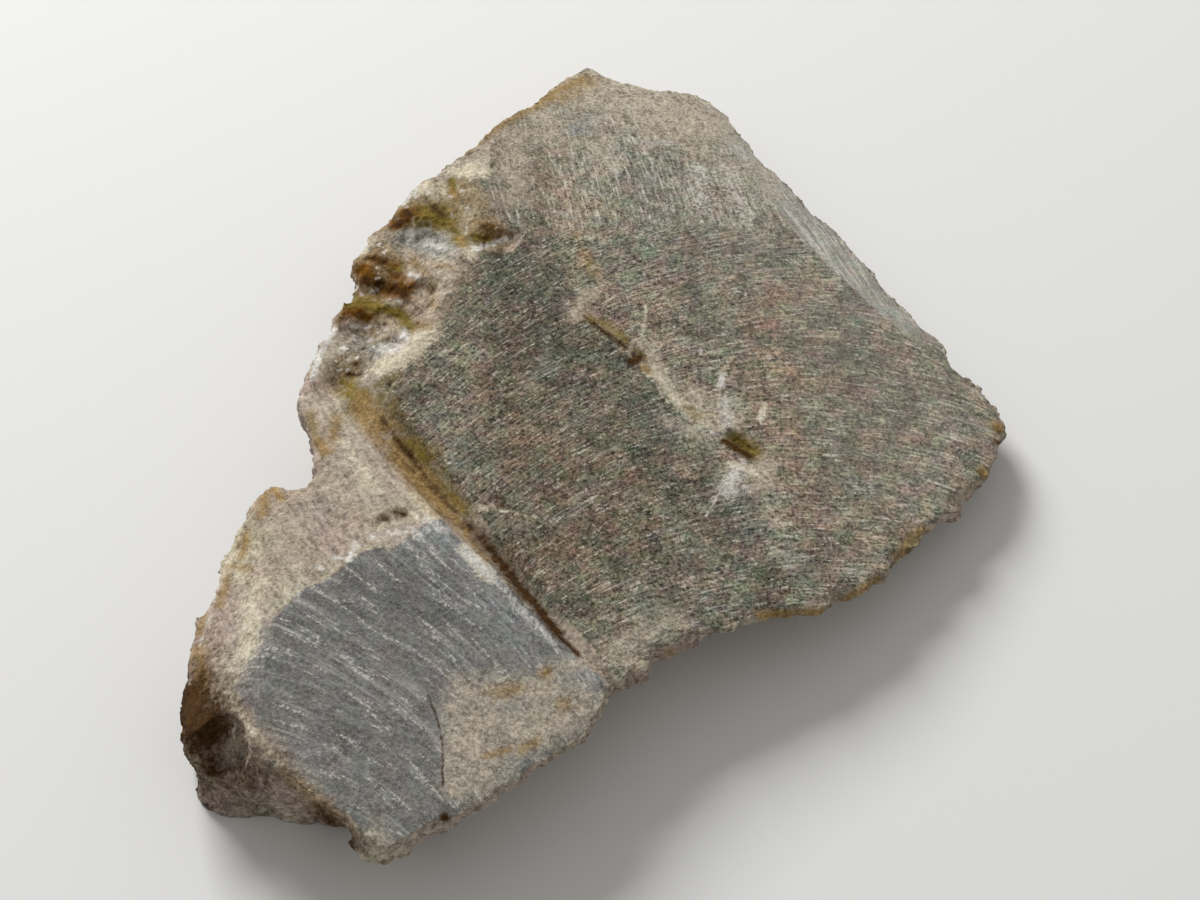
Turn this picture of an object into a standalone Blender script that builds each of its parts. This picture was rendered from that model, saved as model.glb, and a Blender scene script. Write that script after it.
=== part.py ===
"""A slab of herderite with two faces ground flat, one natural piece of stone.

The slab lies on its sawn base. Its top carries a broad ground face that falls away to the
right, with a flatter facet at its far end and a bevel along its far right edge, and a small
ground face at the near left. A groove parts the two faces. Left of it the stone is unground
but worn smooth. Round them all it is broken: a stepped, hackly rim that is undercut, so that
most of the edge stands clear of the surface.

The slab is made as a mason would make it. A rough blank is raised from its plan, its skin is
broken into small fracture facets, and flat cutters then grind the faces on it. Plan points
and lengths are in millimetres and +Z is up. At the end the slab is moved so that the origin
lies on its base, under the middle of its box.
"""

import math

import bmesh
import bpy
import numpy as np
from mathutils import Vector, noise

MM = 0.001

# A plane is (height over the origin, rise per millimetre along X, rise per millimetre along Y).
BROAD_FACE = (6.19, -0.140, 0.000)
FAR_FACE = (7.41, -0.113, -0.100)
EDGE_BEVEL = (10.68, -0.334, -0.183)
SMALL_FACE = (7.47, -0.109, 0.075)
SHOULDER_BREAK = (16.95, 0.500, 0.000)
NECK_BREAK = (6.70, 0.018, -0.118)
LEFT_BREAK = (10.65, 0.222, -0.115)

# The rim seen from above, counterclockwise from the right tip.
RIM = (
    (23.1, 1.3), (23.0, 3.5), (21.9, 5.0), (20.1, 8.9), (18.5, 10.5), (15.5, 14.7), (14.3, 17.1),
    (12.1, 20.6), (10.5, 22.6), (9.1, 24.8), (7.8, 26.9), (7.2, 27.9), (5.3, 29.7), (2.8, 29.5),
    (0.5, 29.8), (0.5, 28.9), (-0.2, 30.3), (-1.8, 31.3), (-2.9, 29.8), (-3.8, 28.4),
    (-5.0, 26.9), (-6.2, 25.6), (-7.6, 24.0), (-9.4, 22.4), (-10.6, 20.9), (-11.9, 19.1),
    (-13.3, 18.0), (-13.9, 16.9), (-16.0, 15.2), (-15.8, 13.0), (-16.2, 10.9), (-16.9, 8.7),
    (-17.2, 6.7), (-18.2, 4.1), (-18.6, 0.6), (-17.5, -2.5), (-17.0, -4.0), (-17.2, -5.6),
    (-17.5, -7.2), (-18.2, -5.9), (-19.3, -5.1), (-20.3, -6.2), (-21.3, -7.9), (-21.7, -9.6),
    (-21.9, -11.2), (-22.9, -13.9), (-23.3, -16.3), (-23.1, -21.4), (-22.4, -22.4),
    (-20.6, -22.9), (-19.0, -23.5), (-18.0, -24.0), (-16.0, -25.2), (-14.5, -26.6),
    (-13.0, -28.2), (-12.0, -28.5), (-10.9, -27.8), (-8.9, -27.0), (-7.9, -26.8), (-7.0, -25.8),
    (-5.4, -24.4), (-2.8, -22.6), (-1.4, -21.5), (-0.5, -20.2), (-0.6, -18.6), (1.0, -18.1),
    (2.1, -17.0), (2.2, -15.9), (4.3, -15.0), (6.7, -14.6), (7.1, -13.5), (8.2, -12.9),
    (9.1, -12.7), (11.1, -12.3), (13.7, -11.0), (15.9, -9.1), (17.3, -7.3), (20.2, -4.2),
    (20.7, -2.9), (22.5, -0.9),
)

# Places on the rim: x, y, how thick the edge is there, and how far in the undercut runs.
EDGE_PLACES = (
    (22.8, 0.0, 1.2, 11.0),
    (18.0, -8.0, 1.5, 10.0),
    (11.0, -12.5, 1.5, 10.0),
    (5.0, -15.5, 1.4, 8.0),
    (1.5, -18.0, 2.1, 6.0),
    (-4.0, -23.5, 1.6, 8.0),
    (-12.0, -29.5, 1.9, 9.0),
    (-16.0, -25.6, 1.6, 4.0),
    (-18.2, -24.2, 1.8, 1.6),
    (-20.6, -23.0, 9.0, 1.0),
    (-22.8, -21.0, 9.0, 1.0),
    (-22.5, -15.0, 5.0, 2.5),
    (-18.0, -6.4, 4.0, 2.5),
    (-17.0, 3.0, 5.5, 2.0),
    (-15.5, 12.0, 4.5, 4.0),
    (-9.0, 21.0, 3.5, 5.0),
    (0.0, 29.0, 3.0, 6.0),
    (8.0, 26.0, 2.2, 6.0),
    (15.0, 14.5, 2.0, 6.0),
)

# Bowls broken out of the top near its left rim: from x, y to x, y, radius, depth.
BOWLS = (
    (-14.9, 7.0, -12.2, 8.4, 1.6, 1.4),
    (-15.0, 10.0, -13.4, 10.2, 1.1, 1.0),
    (-12.4, 14.2, -9.8, 14.5, 1.0, 1.2),
    (-8.3, 13.1, -6.8, 12.9, 0.9, 0.9),
    (-9.8, 16.6, -9.6, 16.0, 0.6, 0.8),
    (-16.4, 2.0, -14.8, 2.9, 1.3, 0.8),
    (-12.9, 12.0, -11.0, 12.0, 0.8, 0.5),
)

# The groove's floor line, from its wide end at the upper left to where it dies out.
GROOVE_LINE = (
    (-16.4, 2.4), (-15.6, 1.3), (-14.5, -0.6), (-13.4, -2.4), (-11.9, -4.2), (-10.4, -6.1),
    (-8.9, -8.0), (-7.8, -9.4), (-6.3, -11.0), (-4.9, -12.8), (-3.9, -13.9), (-2.8, -15.3),
    (-1.6, -16.8), (-0.6, -18.0), (0.4, -19.4),
)
GROOVE_WIDTHS = (2.1, 0.35)
GROOVE_DEPTHS = (1.35, 0.30)
GROOVE_TAPER = 0.8

# The groove's section: steps right of its floor line over the width, and down over the depth.
# Its left bank is shallow and then rises evenly, more steeply as the groove narrows, and its
# right wall rounds over at the top.
GROOVE_SECTION = ((-0.45, 0.75), (0.0, 1.0), (0.30, 0.92), (0.62, 0.60), (0.86, 0.22))
LEFT_BANK_RISES = (0.8, 3.6)

# The laps on the two sides of the groove overlap this much, and run on past its ends to these.
LAP_OVERLAP = 0.2
PAST_FAR_END = 20.0
PAST_NEAR_END = 8.0

# Slots in the broad face: points of the steep lower-left lip, the upper-right lip, depth.
CRACK = (
    ((-2.0, 7.9), (-1.0, 6.5), (-0.1, 5.6), (0.5, 5.0), (0.9, 4.1), (1.9, 3.2)),
    ((-0.8, 8.3), (-0.3, 6.8), (0.4, 5.9), (1.0, 5.2), (1.7, 4.3), (2.2, 3.5)),
    0.9,
)
CRACK_PIT = (
    ((6.1, -0.6), (6.9, -1.7), (8.4, -2.7)),
    ((6.5, -0.4), (7.6, -0.8), (8.7, -2.2)),
    1.0,
)
CRACK_CHIP = (
    ((2.5, 2.6), (3.0, 1.8), (3.6, 1.2)),
    ((2.8, 2.8), (3.5, 2.1), (3.9, 1.4)),
    0.5,
)

# A slot's foot lies this far from the steep lip to the other, and its ends are this shallow.
SLOT_FOOT = 0.15
SLOT_END = 0.25

# The hollow broken out of the front left corner: centre, half lengths and unevenness.
CORNER_HOLLOW = ((-21.9, -24.3, 7.0), (3.1, 4.2, 4.0))
HOLLOW_FACET = 0.65
HOLLOW_RELIEF = 0.16

# The plan point under the middle of the finished slab's box.
MIDDLE = (-0.22, 1.285)

# Cutters reach well past the slab on every side, and stand this far over its faces.
CUTTER_HEIGHT = 45.0
CUTTER_HALF_SIDE = 40.0
SAW_BOTTOM = -5.0
GROOVE_CLEAR = 2.5
SLOT_CLEAR = 1.0
LIP_CLEAR = 0.02

# The blank: a plate's height, the grain of its mesh at each step, and the stock that the laps
# and the saw take off.
BLANK_HEIGHT = 8.0
BLANK_VOXEL = 0.60
SKIN_VOXEL = 0.50
BROKEN_VOXEL = 0.36
BLANK_TRIANGLES = 18500
STOCK_OVER_LAP = 1.4
LEAST_THICKNESS = 0.8
BELOW_BASE = -1.3

# How the rim's thickness blends from one place to the next: a softening, and a falloff.
EDGE_SOFTENING = 0.5
EDGE_FALLOFF = 1.5

# The fracture facets' size and height, and how far the whole skin stands out.
COARSE_FACET = 3.6
COARSE_RELIEF = 0.42
FINE_FACET = 1.5
FINE_RELIEF = 0.22
FACET_TILT = 1.6
RELIEF_SHIFT = 0.28
ROUGH_SEED = 17.0

# The worn neck and shoulder keep this share of the relief, where they face up this far.
WORN_RELIEF = 0.22
WORN_FACING = (0.35, 0.75)


def clear_scene():
    """Remove whatever the scene holds."""
    for thing in list(bpy.data.objects):
        bpy.data.objects.remove(thing, do_unlink=True)


def height_on(plane, x, y):
    """Height of a plane over plan point x, y."""
    return plane[0] + plane[1] * x + plane[2] * y


def add_mesh(name, bm):
    """An object from a bmesh held in millimetres, with its faces turned outwards."""
    bmesh.ops.recalc_face_normals(bm, faces=bm.faces)
    bmesh.ops.scale(bm, vec=(MM, MM, MM), verts=bm.verts)
    mesh = bpy.data.meshes.new(name)
    bm.to_mesh(mesh)
    bm.free()
    thing = bpy.data.objects.new(name, mesh)
    bpy.context.scene.collection.objects.link(thing)
    return thing


def bake_modifiers(thing):
    """Replace an object's mesh with what its modifiers make of it."""
    graph = bpy.context.evaluated_depsgraph_get()
    made = bpy.data.meshes.new_from_object(thing.evaluated_get(graph))
    thing.modifiers.clear()
    thing.data = made


def remesh(thing, voxel):
    """Rebuild a closed mesh with even faces."""
    step = thing.modifiers.new("Even faces", "REMESH")
    step.mode = "VOXEL"
    step.voxel_size = voxel * MM
    bake_modifiers(thing)


def get_points(thing):
    """The object's vertices as an array in millimetres."""
    points = np.empty(len(thing.data.vertices) * 3)
    thing.data.vertices.foreach_get("co", points)
    return points.reshape(-1, 3) / MM


def set_points(thing, points):
    """Give the object's vertices new places, in millimetres."""
    thing.data.vertices.foreach_set("co", (points * MM).ravel())
    thing.data.update()


def distance_to_segment(x, y, start, end):
    """Plan distance from points x, y to the segment from start to end."""
    along = np.subtract(end, start)
    length2 = max(along @ along, 1e-9)
    part = ((x - start[0]) * along[0] + (y - start[1]) * along[1]) / length2
    part = np.clip(part, 0.0, 1.0)
    return np.hypot(x - start[0] - part * along[0], y - start[1] - part * along[1])


def distance_to_rim(x, y):
    """Plan distance from points x, y to the nearest side of the rim."""
    sides = zip(RIM, RIM[1:] + RIM[:1])
    return np.min([distance_to_segment(x, y, a, b) for a, b in sides], axis=0)


def left_of_groove(x, y):
    """Whether each point lies on the small face's side of the groove."""
    along_x = np.array([p[0] for p in GROOVE_LINE])
    along_y = np.array([p[1] for p in GROOVE_LINE])
    line_x = np.interp(y, along_y[::-1], along_x[::-1])
    return x < line_x


def ground_height(x, y):
    """Height of whichever ground face lies over each point."""
    right = np.minimum(height_on(BROAD_FACE, x, y), height_on(FAR_FACE, x, y))
    right = np.minimum(right, height_on(EDGE_BEVEL, x, y))
    return np.where(left_of_groove(x, y), height_on(SMALL_FACE, x, y), right)


def broken_height(x, y):
    """Height of the unground stone: stock to grind off, natural breaks, and bowls."""
    ground = ground_height(x, y)
    left = np.minimum(height_on(SHOULDER_BREAK, x, y), height_on(NECK_BREAK, x, y))
    broken = np.where(left_of_groove(x, y), left, height_on(LEFT_BREAK, x, y))
    lip = np.minimum(ground, broken) - RELIEF_SHIFT
    top = np.minimum(ground + STOCK_OVER_LAP, broken)
    for x0, y0, x1, y1, radius, depth in BOWLS:
        reach = distance_to_segment(x, y, (x0, y0), (x1, y1)) / radius
        top = np.minimum(top, lip + depth * (reach ** 2 - 1.0))
    return top


def underside_height(x, y):
    """Height of the undercut: the edge's thickness below the top, falling to the base."""
    places = np.array(EDGE_PLACES)
    gap2 = (x[:, None] - places[:, 0]) ** 2 + (y[:, None] - places[:, 1]) ** 2
    weight = 1.0 / (gap2 + EDGE_SOFTENING) ** EDGE_FALLOFF
    weight /= weight.sum(axis=1, keepdims=True)
    thickness = weight @ places[:, 2]
    run = weight @ places[:, 3]
    inward = np.clip(distance_to_rim(x, y) / run, 0.0, 1.0)
    fall = inward * inward * (3.0 - 2.0 * inward)
    edge = np.maximum(ground_height(x, y) - thickness, BELOW_BASE)
    return edge * (1.0 - fall) + BELOW_BASE * fall


def raise_blank():
    """The plan raised to a plate, then stretched between its underside and its top."""
    bm = bmesh.new()
    plan = bm.faces.new([bm.verts.new((x, y, 0.0)) for x, y in RIM])
    raised = bmesh.ops.extrude_face_region(bm, geom=[plan])["geom"]
    corners = [item for item in raised if isinstance(item, bmesh.types.BMVert)]
    bmesh.ops.translate(bm, vec=(0.0, 0.0, BLANK_HEIGHT), verts=corners)
    blank = add_mesh("herderite_slab", bm)
    remesh(blank, BLANK_VOXEL)
    points = get_points(blank)
    x, y = points[:, 0], points[:, 1]
    level = np.clip(points[:, 2] / BLANK_HEIGHT, 0.0, 1.0)
    low, high = underside_height(x, y), broken_height(x, y)
    points[:, 2] = low + level * np.maximum(high - low, LEAST_THICKNESS)
    set_points(blank, points)
    remesh(blank, SKIN_VOXEL)
    return blank


def fracture(point, size):
    """Relief of a hackly break, about -1 to 1: tilted flat facets with small steps between."""
    place = Vector(point) / size + Vector((ROUGH_SEED, 0.0, 0.0))
    seed = noise.voronoi(place)[1][0]
    tilt = noise.cell_vector(seed * 13.7) - Vector((0.5, 0.5, 0.5))
    step = noise.cell(seed * 5.3) - 0.5
    return step + FACET_TILT * tilt.dot(place - seed)


def break_skin(blank):
    """Move every vertex along its normal by fracture relief, little where the top is worn."""
    points = get_points(blank)
    normals = np.array([vertex.normal for vertex in blank.data.vertices])
    relief = np.array([
        COARSE_RELIEF * fracture(point, COARSE_FACET) + FINE_RELIEF * fracture(point, FINE_FACET)
        for point in points
    ])
    low, high = WORN_FACING
    worn = np.clip((normals[:, 2] - low) / (high - low), 0.0, 1.0)
    worn *= left_of_groove(points[:, 0], points[:, 1])
    relief *= 1.0 - (1.0 - WORN_RELIEF) * worn
    set_points(blank, points + normals * (RELIEF_SHIFT + relief)[:, None])
    remesh(blank, BROKEN_VOXEL)


def thin_out(blank):
    """Lower the face count to what the facets need."""
    blank.modifiers.new("Triangles", "TRIANGULATE")
    bake_modifiers(blank)
    step = blank.modifiers.new("Fewer faces", "DECIMATE")
    step.ratio = BLANK_TRIANGLES / len(blank.data.polygons)
    bake_modifiers(blank)


def cut(stone, cutter):
    """Take the cutter out of the stone, and keep the cutter as a wire helper."""
    cutter.hide_render = True
    cutter.display_type = "WIRE"
    step = stone.modifiers.new(cutter.name, "BOOLEAN")
    step.operation = "DIFFERENCE"
    step.solver = "EXACT"
    step.object = cutter


def prism(name, plan, low, high):
    """A closed prism over a plan, with low and high giving its two heights at x, y."""
    bm = bmesh.new()
    bottom = [bm.verts.new((x, y, low(x, y))) for x, y in plan]
    top = [bm.verts.new((x, y, high(x, y))) for x, y in plan]
    bm.faces.new(bottom)
    bm.faces.new(top)
    for i in range(len(plan)):
        j = (i + 1) % len(plan)
        bm.faces.new((bottom[i], bottom[j], top[j], top[i]))
    return add_mesh(name, bm)


def lap(stone, name, plan, plane):
    """Grind the stone flat down to a plane, over one plan."""
    top = lambda x, y: CUTTER_HEIGHT
    cut(stone, prism(name, plan, lambda x, y: height_on(plane, x, y), top))


def grind_faces(stone):
    """Grind the faces on both sides of the groove, and saw the base flat."""
    side = CUTTER_HALF_SIDE
    everywhere = [(-side, -side), (side, -side), (side, side), (-side, side)]
    start, end = (-side, PAST_FAR_END), (PAST_NEAR_END, -side)
    right_line = [(x - LAP_OVERLAP, y) for x, y in GROOVE_LINE]
    left_line = [(x + LAP_OVERLAP, y) for x, y in GROOVE_LINE]
    left = [start] + left_line + [end] + everywhere[:1]
    right = [start] + right_line + [end] + everywhere[1:]
    lap(stone, "broad_face_lap", right, BROAD_FACE)
    lap(stone, "far_face_lap", everywhere, FAR_FACE)
    lap(stone, "edge_bevel_lap", everywhere, EDGE_BEVEL)
    lap(stone, "small_face_lap", left, SMALL_FACE)
    cut(stone, prism("base_saw", everywhere, lambda x, y: SAW_BOTTOM, lambda x, y: 0.0))


def groove_section(place, across, width, depth, rise):
    """Points of the groove cutter's section at one place, from its left top to its right."""
    level = height_on(BROAD_FACE, *place)
    shape = [(share * width, -down * depth) for share, down in GROOVE_SECTION]
    bank = (GROOVE_CLEAR - shape[0][1]) / rise
    shape = [(shape[0][0] - bank, GROOVE_CLEAR)] + shape
    shape += [(width, LIP_CLEAR), (1.5 * width, GROOVE_CLEAR)]
    return [(place[0] + across[0] * s, place[1] + across[1] * s, level + z) for s, z in shape]


def sweep(name, sections):
    """A closed body through a row of like sections."""
    bm = bmesh.new()
    rings = [[bm.verts.new(point) for point in section] for section in sections]
    bm.faces.new(rings[0])
    bm.faces.new(rings[-1])
    for first, second in zip(rings, rings[1:]):
        for i in range(len(first)):
            j = (i + 1) % len(first)
            bm.faces.new((first[i], first[j], second[j], second[i]))
    return add_mesh(name, bm)


def cut_groove(stone):
    """The groove between the two ground faces, narrowing to nothing at the near rim."""
    sections = []
    last = len(GROOVE_LINE) - 1
    for i, place in enumerate(GROOVE_LINE):
        before, after = GROOVE_LINE[max(i - 1, 0)], GROOVE_LINE[min(i + 1, last)]
        along = np.subtract(after, before)
        across = np.array((-along[1], along[0])) / np.hypot(*along)
        share = (i / last) ** GROOVE_TAPER
        width, depth, rise = [
            start + share * (end - start)
            for start, end in (GROOVE_WIDTHS, GROOVE_DEPTHS, LEFT_BANK_RISES)
        ]
        sections.append(groove_section(place, across, width, depth, rise))
    cut(stone, sweep("groove", sections))


def cut_slot(stone, name, slot):
    """A slot with a steep lip on one side and a slope up to the other."""
    steep, gentle, depth = slot
    sections = []
    for i, (a, b) in enumerate(zip(steep, gentle)):
        middle = math.sin(math.pi * (i + 0.5) / len(steep))
        deep = depth * (SLOT_END + (1.0 - SLOT_END) * middle)
        level = height_on(BROAD_FACE, *a)
        foot = np.add(a, SLOT_FOOT * np.subtract(b, a))
        sections.append((
            (a[0], a[1], level + SLOT_CLEAR),
            (foot[0], foot[1], level - deep),
            (b[0], b[1], level + LIP_CLEAR),
            (b[0], b[1], level + SLOT_CLEAR),
        ))
    cut(stone, sweep(name, sections))


def cut_corner(stone):
    """The broken hollow in the front left corner."""
    centre, half = CORNER_HOLLOW
    bm = bmesh.new()
    bmesh.ops.create_icosphere(bm, subdivisions=3, radius=1.0)
    for vertex in bm.verts:
        grow = 1.0 + HOLLOW_RELIEF * fracture(vertex.co, HOLLOW_FACET)
        vertex.co = Vector(c + h * p * grow for c, h, p in zip(centre, half, vertex.co))
    cut(stone, add_mesh("corner_hollow", bm))


def stone_material():
    """Grey-brown ground herderite, matt."""
    material = bpy.data.materials.new("herderite")
    material.use_nodes = True
    shader = material.node_tree.nodes["Principled BSDF"]
    shader.inputs["Base Color"].default_value = (0.21, 0.175, 0.135, 1.0)
    shader.inputs["Roughness"].default_value = 0.55
    shader.inputs["Metallic"].default_value = 0.0
    return material


def build_slab():
    """The whole slab, one closed body."""
    stone = raise_blank()
    break_skin(stone)
    thin_out(stone)
    grind_faces(stone)
    cut_groove(stone)
    cut_slot(stone, "crack", CRACK)
    cut_slot(stone, "crack_pit", CRACK_PIT)
    cut_slot(stone, "crack_chip", CRACK_CHIP)
    cut_corner(stone)
    stone.data.materials.append(stone_material())
    for cutter in [step.object for step in stone.modifiers]:
        cutter.parent = stone
    stone.location = (-MIDDLE[0] * MM, -MIDDLE[1] * MM, 0.0)


clear_scene()
build_slab()
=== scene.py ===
# %% [markdown]
# # A ground slab of herderite
#
# The stone is one natural piece, about 47 by 59 mm and 8 mm thick. Its top was ground flat on a
# lap in two faces, with a facet at the far end and a bevel, and a groove between the faces. The
# rest is broken stone: a stepped rim, a worn neck, and a band of pits and crystals on the left.
#
# The plain solid already has these main forms. The lesson gives it a finer skin, breaks and
# chips that skin, notes where each kind of stain lies and where shade and highlights are
# painted, and mixes one material from the notes.
# Plan points and lengths are in millimetres. +Z is up, and the origin lies under the middle.

# %% Load the solid
import math

import bmesh
import bpy
import numpy as np
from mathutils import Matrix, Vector, noise


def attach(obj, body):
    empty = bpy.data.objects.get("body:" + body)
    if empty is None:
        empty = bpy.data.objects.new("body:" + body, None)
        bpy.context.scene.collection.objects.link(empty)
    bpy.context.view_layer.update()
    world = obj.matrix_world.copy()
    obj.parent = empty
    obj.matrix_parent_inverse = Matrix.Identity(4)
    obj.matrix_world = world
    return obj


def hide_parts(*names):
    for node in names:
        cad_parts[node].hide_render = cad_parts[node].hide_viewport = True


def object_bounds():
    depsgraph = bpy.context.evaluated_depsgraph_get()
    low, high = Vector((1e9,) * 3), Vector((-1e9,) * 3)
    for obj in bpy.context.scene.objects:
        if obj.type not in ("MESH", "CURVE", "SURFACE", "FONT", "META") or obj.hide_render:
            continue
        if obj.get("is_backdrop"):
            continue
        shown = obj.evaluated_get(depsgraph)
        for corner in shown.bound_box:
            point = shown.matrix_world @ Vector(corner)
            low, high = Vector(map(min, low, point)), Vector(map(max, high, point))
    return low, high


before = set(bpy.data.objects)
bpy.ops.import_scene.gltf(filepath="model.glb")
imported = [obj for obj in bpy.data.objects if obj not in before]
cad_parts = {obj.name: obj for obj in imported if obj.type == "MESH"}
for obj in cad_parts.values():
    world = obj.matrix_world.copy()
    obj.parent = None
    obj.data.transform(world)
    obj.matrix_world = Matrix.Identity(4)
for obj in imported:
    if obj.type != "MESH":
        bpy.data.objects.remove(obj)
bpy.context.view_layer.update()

MM = 0.001
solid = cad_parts["herderite_slab"]
print("solid:", len(solid.data.polygons), "faces")

# %% [markdown]
# ## An even, fine skin
#
# A break in stone has steps much smaller than the solid's facets. They could be left to a bump
# in the material, but then the outline and the shadows in the pits would stay smooth. So the
# mesh itself gets a fine grain: a voxel remesh lays even squares all over it, and every later
# step moves those points. The copy is merged first, because a loaded mesh is split at its edges.

# %% Copy the solid and remesh it
SKIN_GRAIN = 0.25


def bake_modifiers(thing):
    """Replace an object's mesh with what its modifiers make of it."""
    graph = bpy.context.evaluated_depsgraph_get()
    made = bpy.data.meshes.new_from_object(thing.evaluated_get(graph))
    thing.modifiers.clear()
    thing.data = made


def merged_copy(source, name):
    """A new object with the source's mesh, joined along its split edges."""
    bm = bmesh.new()
    bm.from_mesh(source.data)
    bmesh.ops.remove_doubles(bm, verts=bm.verts, dist=1e-7)
    mesh = bpy.data.meshes.new(name)
    bm.to_mesh(mesh)
    bm.free()
    thing = bpy.data.objects.new(name, mesh)
    bpy.context.scene.collection.objects.link(thing)
    return thing


slab = merged_copy(solid, "dressed_slab")
remesh = slab.modifiers.new("Even skin", "REMESH")
remesh.mode = "VOXEL"
remesh.voxel_size = SKIN_GRAIN * MM
bake_modifiers(slab)
print("skin:", len(slab.data.vertices), "points")

# %% [markdown]
# ## Points as arrays
#
# Every later step moves the skin's points or keeps a number on each of them. Going through a
# hundred thousand points one by one is slow, so they are read into one array, worked on
# together, and written back. The drawing of the top has its own origin, a little off the
# frame's, and every plan point in this lesson is one of the drawing's. So the points are shifted
# as they are read, and shifted back as they are written.

# %% Read and write the points
DRAWING_SHIFT = (0.02, 0.575)


def get_points(thing):
    """The object's points as an array in millimetres, in the drawing's place."""
    points = np.empty(len(thing.data.vertices) * 3)
    thing.data.vertices.foreach_get("co", points)
    return points.reshape(-1, 3) / MM + (*DRAWING_SHIFT, 0.0)


def set_points(thing, points):
    """Give the object's points new places, in millimetres in the drawing's place."""
    thing.data.vertices.foreach_set("co", ((points - (*DRAWING_SHIFT, 0.0)) * MM).ravel())
    thing.data.update()


def get_normals(thing):
    """The direction that each point faces."""
    normals = np.empty(len(thing.data.vertices) * 3)
    thing.data.vertex_normals.foreach_get("vector", normals)
    return normals.reshape(-1, 3)


def get_edges(thing):
    """The two point numbers of every edge."""
    edges = np.empty(len(thing.data.edges) * 2, dtype=np.int64)
    thing.data.edges.foreach_get("vertices", edges)
    return edges.reshape(-1, 2)


def blend_over_neighbours(values, edges, rounds):
    """Average each point's value with its neighbours', a number of times."""
    count = np.bincount(edges.ravel(), minlength=len(values))
    wide = values.reshape(len(values), -1).astype(float)
    for _ in range(rounds):
        total = np.zeros_like(wide)
        for column in range(wide.shape[1]):
            total[:, column] += np.bincount(edges[:, 0], wide[edges[:, 1], column], len(values))
            total[:, column] += np.bincount(edges[:, 1], wide[edges[:, 0], column], len(values))
        wide = 0.5 * wide + 0.5 * total / np.maximum(count, 1)[:, None]
    return wide.reshape(values.shape)


def keep_marks(thing, name, values):
    """Store one number per point on the mesh, under a name that the material reads."""
    old = thing.data.attributes.get(name)
    store = old or thing.data.attributes.new(name, "FLOAT", "POINT")
    store.data.foreach_set("value", values)


def read_marks(thing, name):
    """The numbers that were stored on the mesh under a name."""
    values = np.empty(len(thing.data.vertices))
    thing.data.attributes[name].data.foreach_get("value", values)
    return values


points = get_points(slab)
normals = get_normals(slab)
edges = get_edges(slab)
print("low corner:", points.min(axis=0).round(2), " high corner:", points.max(axis=0).round(2))

# %% [markdown]
# ## The planes that were ground
#
# Each ground face is a plane. It is given by its height over the drawing's origin, and by how
# much it rises per millimetre along X and Y. Where two of them cross, the lower one is the
# stone, because a lap takes away whatever stands over it. The real bevel is steeper and narrower
# than the plain solid's, so it has two planes: one finds its points on the solid, and they are
# laid on the other. The last three planes only say how high the broken skin lies on the
# shoulder, on the neck and in the band of pits.

# %% The planes and the groove
BROAD_FACE = (6.224, -0.140, 0.000)
FAR_FACE = (7.366, -0.113, -0.100)
SOLID_BEVEL = (10.630, -0.334, -0.183)
EDGE_BEVEL = (14.660, -0.500, -0.289)
SMALL_FACE = (7.549, -0.109, 0.075)
SHOULDER_BREAK = (16.830, 0.500, 0.000)
NECK_BREAK = (6.612, 0.018, -0.118)
PIT_BREAK = (10.515, 0.222, -0.115)
GROOVE_LINE = (
    (-16.2, 1.7), (-15.4, 0.6), (-14.3, -1.3), (-13.2, -3.1), (-11.7, -4.9), (-10.2, -6.8),
    (-8.7, -8.7), (-7.6, -10.1), (-6.1, -11.7), (-4.7, -13.5), (-3.7, -14.6), (-2.6, -16.0),
    (-1.4, -17.5), (-0.4, -18.7), (0.6, -20.1),
)


def height_on(plane, x, y):
    """Height of a plane over plan points."""
    return plane[0] + plane[1] * x + plane[2] * y


def line_at(line, y):
    """The X at which a line that runs from far to near crosses each Y."""
    return np.interp(y, [place[1] for place in line[::-1]], [place[0] for place in line[::-1]])


def left_of_groove(x, y):
    """Whether each point lies on the small face's side of the groove."""
    return x < line_at(GROOVE_LINE, y)


def lowest(planes, x, y):
    """Height of the lowest of some planes over plan points."""
    return np.min([height_on(plane, x, y) for plane in planes], axis=0)


def ground_height(x, y, bevel):
    """Height of whichever ground face lies over each point, with one or the other bevel."""
    right = lowest((BROAD_FACE, FAR_FACE, bevel), x, y)
    return np.where(left_of_groove(x, y), height_on(SMALL_FACE, x, y), right)


print("height over the drawing's origin:", ground_height(np.zeros(1), np.zeros(1), EDGE_BEVEL)[0])

# %% [markdown]
# ## Which points are ground and which are broken
#
# A point that lies within a hair of its plane is ground, and is laid exactly on it, which keeps
# the faces true. All the others are broken skin. A vertex group could hold the answer, but a
# number per point in an array can be softened, so that edges wear, and used in sums.

# %% Find the ground points
ON_FACE = 0.07
FACING = 0.85

ground = ground_height(points[:, 0], points[:, 1], SOLID_BEVEL)
is_ground = (np.abs(points[:, 2] - ground) < ON_FACE) & (normals[:, 2] > FACING)
is_base = (points[:, 2] < ON_FACE) & (normals[:, 2] < -FACING)
points[is_ground, 2] = ground_height(points[:, 0], points[:, 1], EDGE_BEVEL)[is_ground]
points[is_base, 2] = 0.0
broken = np.where(is_ground | is_base, 0.0, 1.0)
print("ground:", int(is_ground.sum()), " base:", int(is_base.sum()), " of", len(points))

# %% [markdown]
# ## Scallops along the near edge
#
# The near edge broke away in shallow shells, so in plan it is a row of uneven scallops. Small
# round cutters could bite them out. A smooth noise that pushes the whole edge in and out gives
# the same line, and because the push fades inwards, nothing folds over.

# %% Push the near edge in and out
SCALLOPED_EDGE = (
    (20.5, -5.0), (17.6, -8.4), (15.6, -11.0), (11.0, -13.7), (5.0, -15.6), (1.0, -18.6),
)
EDGE_OUTWARD = np.array((0.61, -0.79))
SCALLOP_REACH = 2.2
SCALLOP_FADE = 1.4
SCALLOP_DEPTH = 0.85
SCALLOP_SIZE = 1.5


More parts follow.
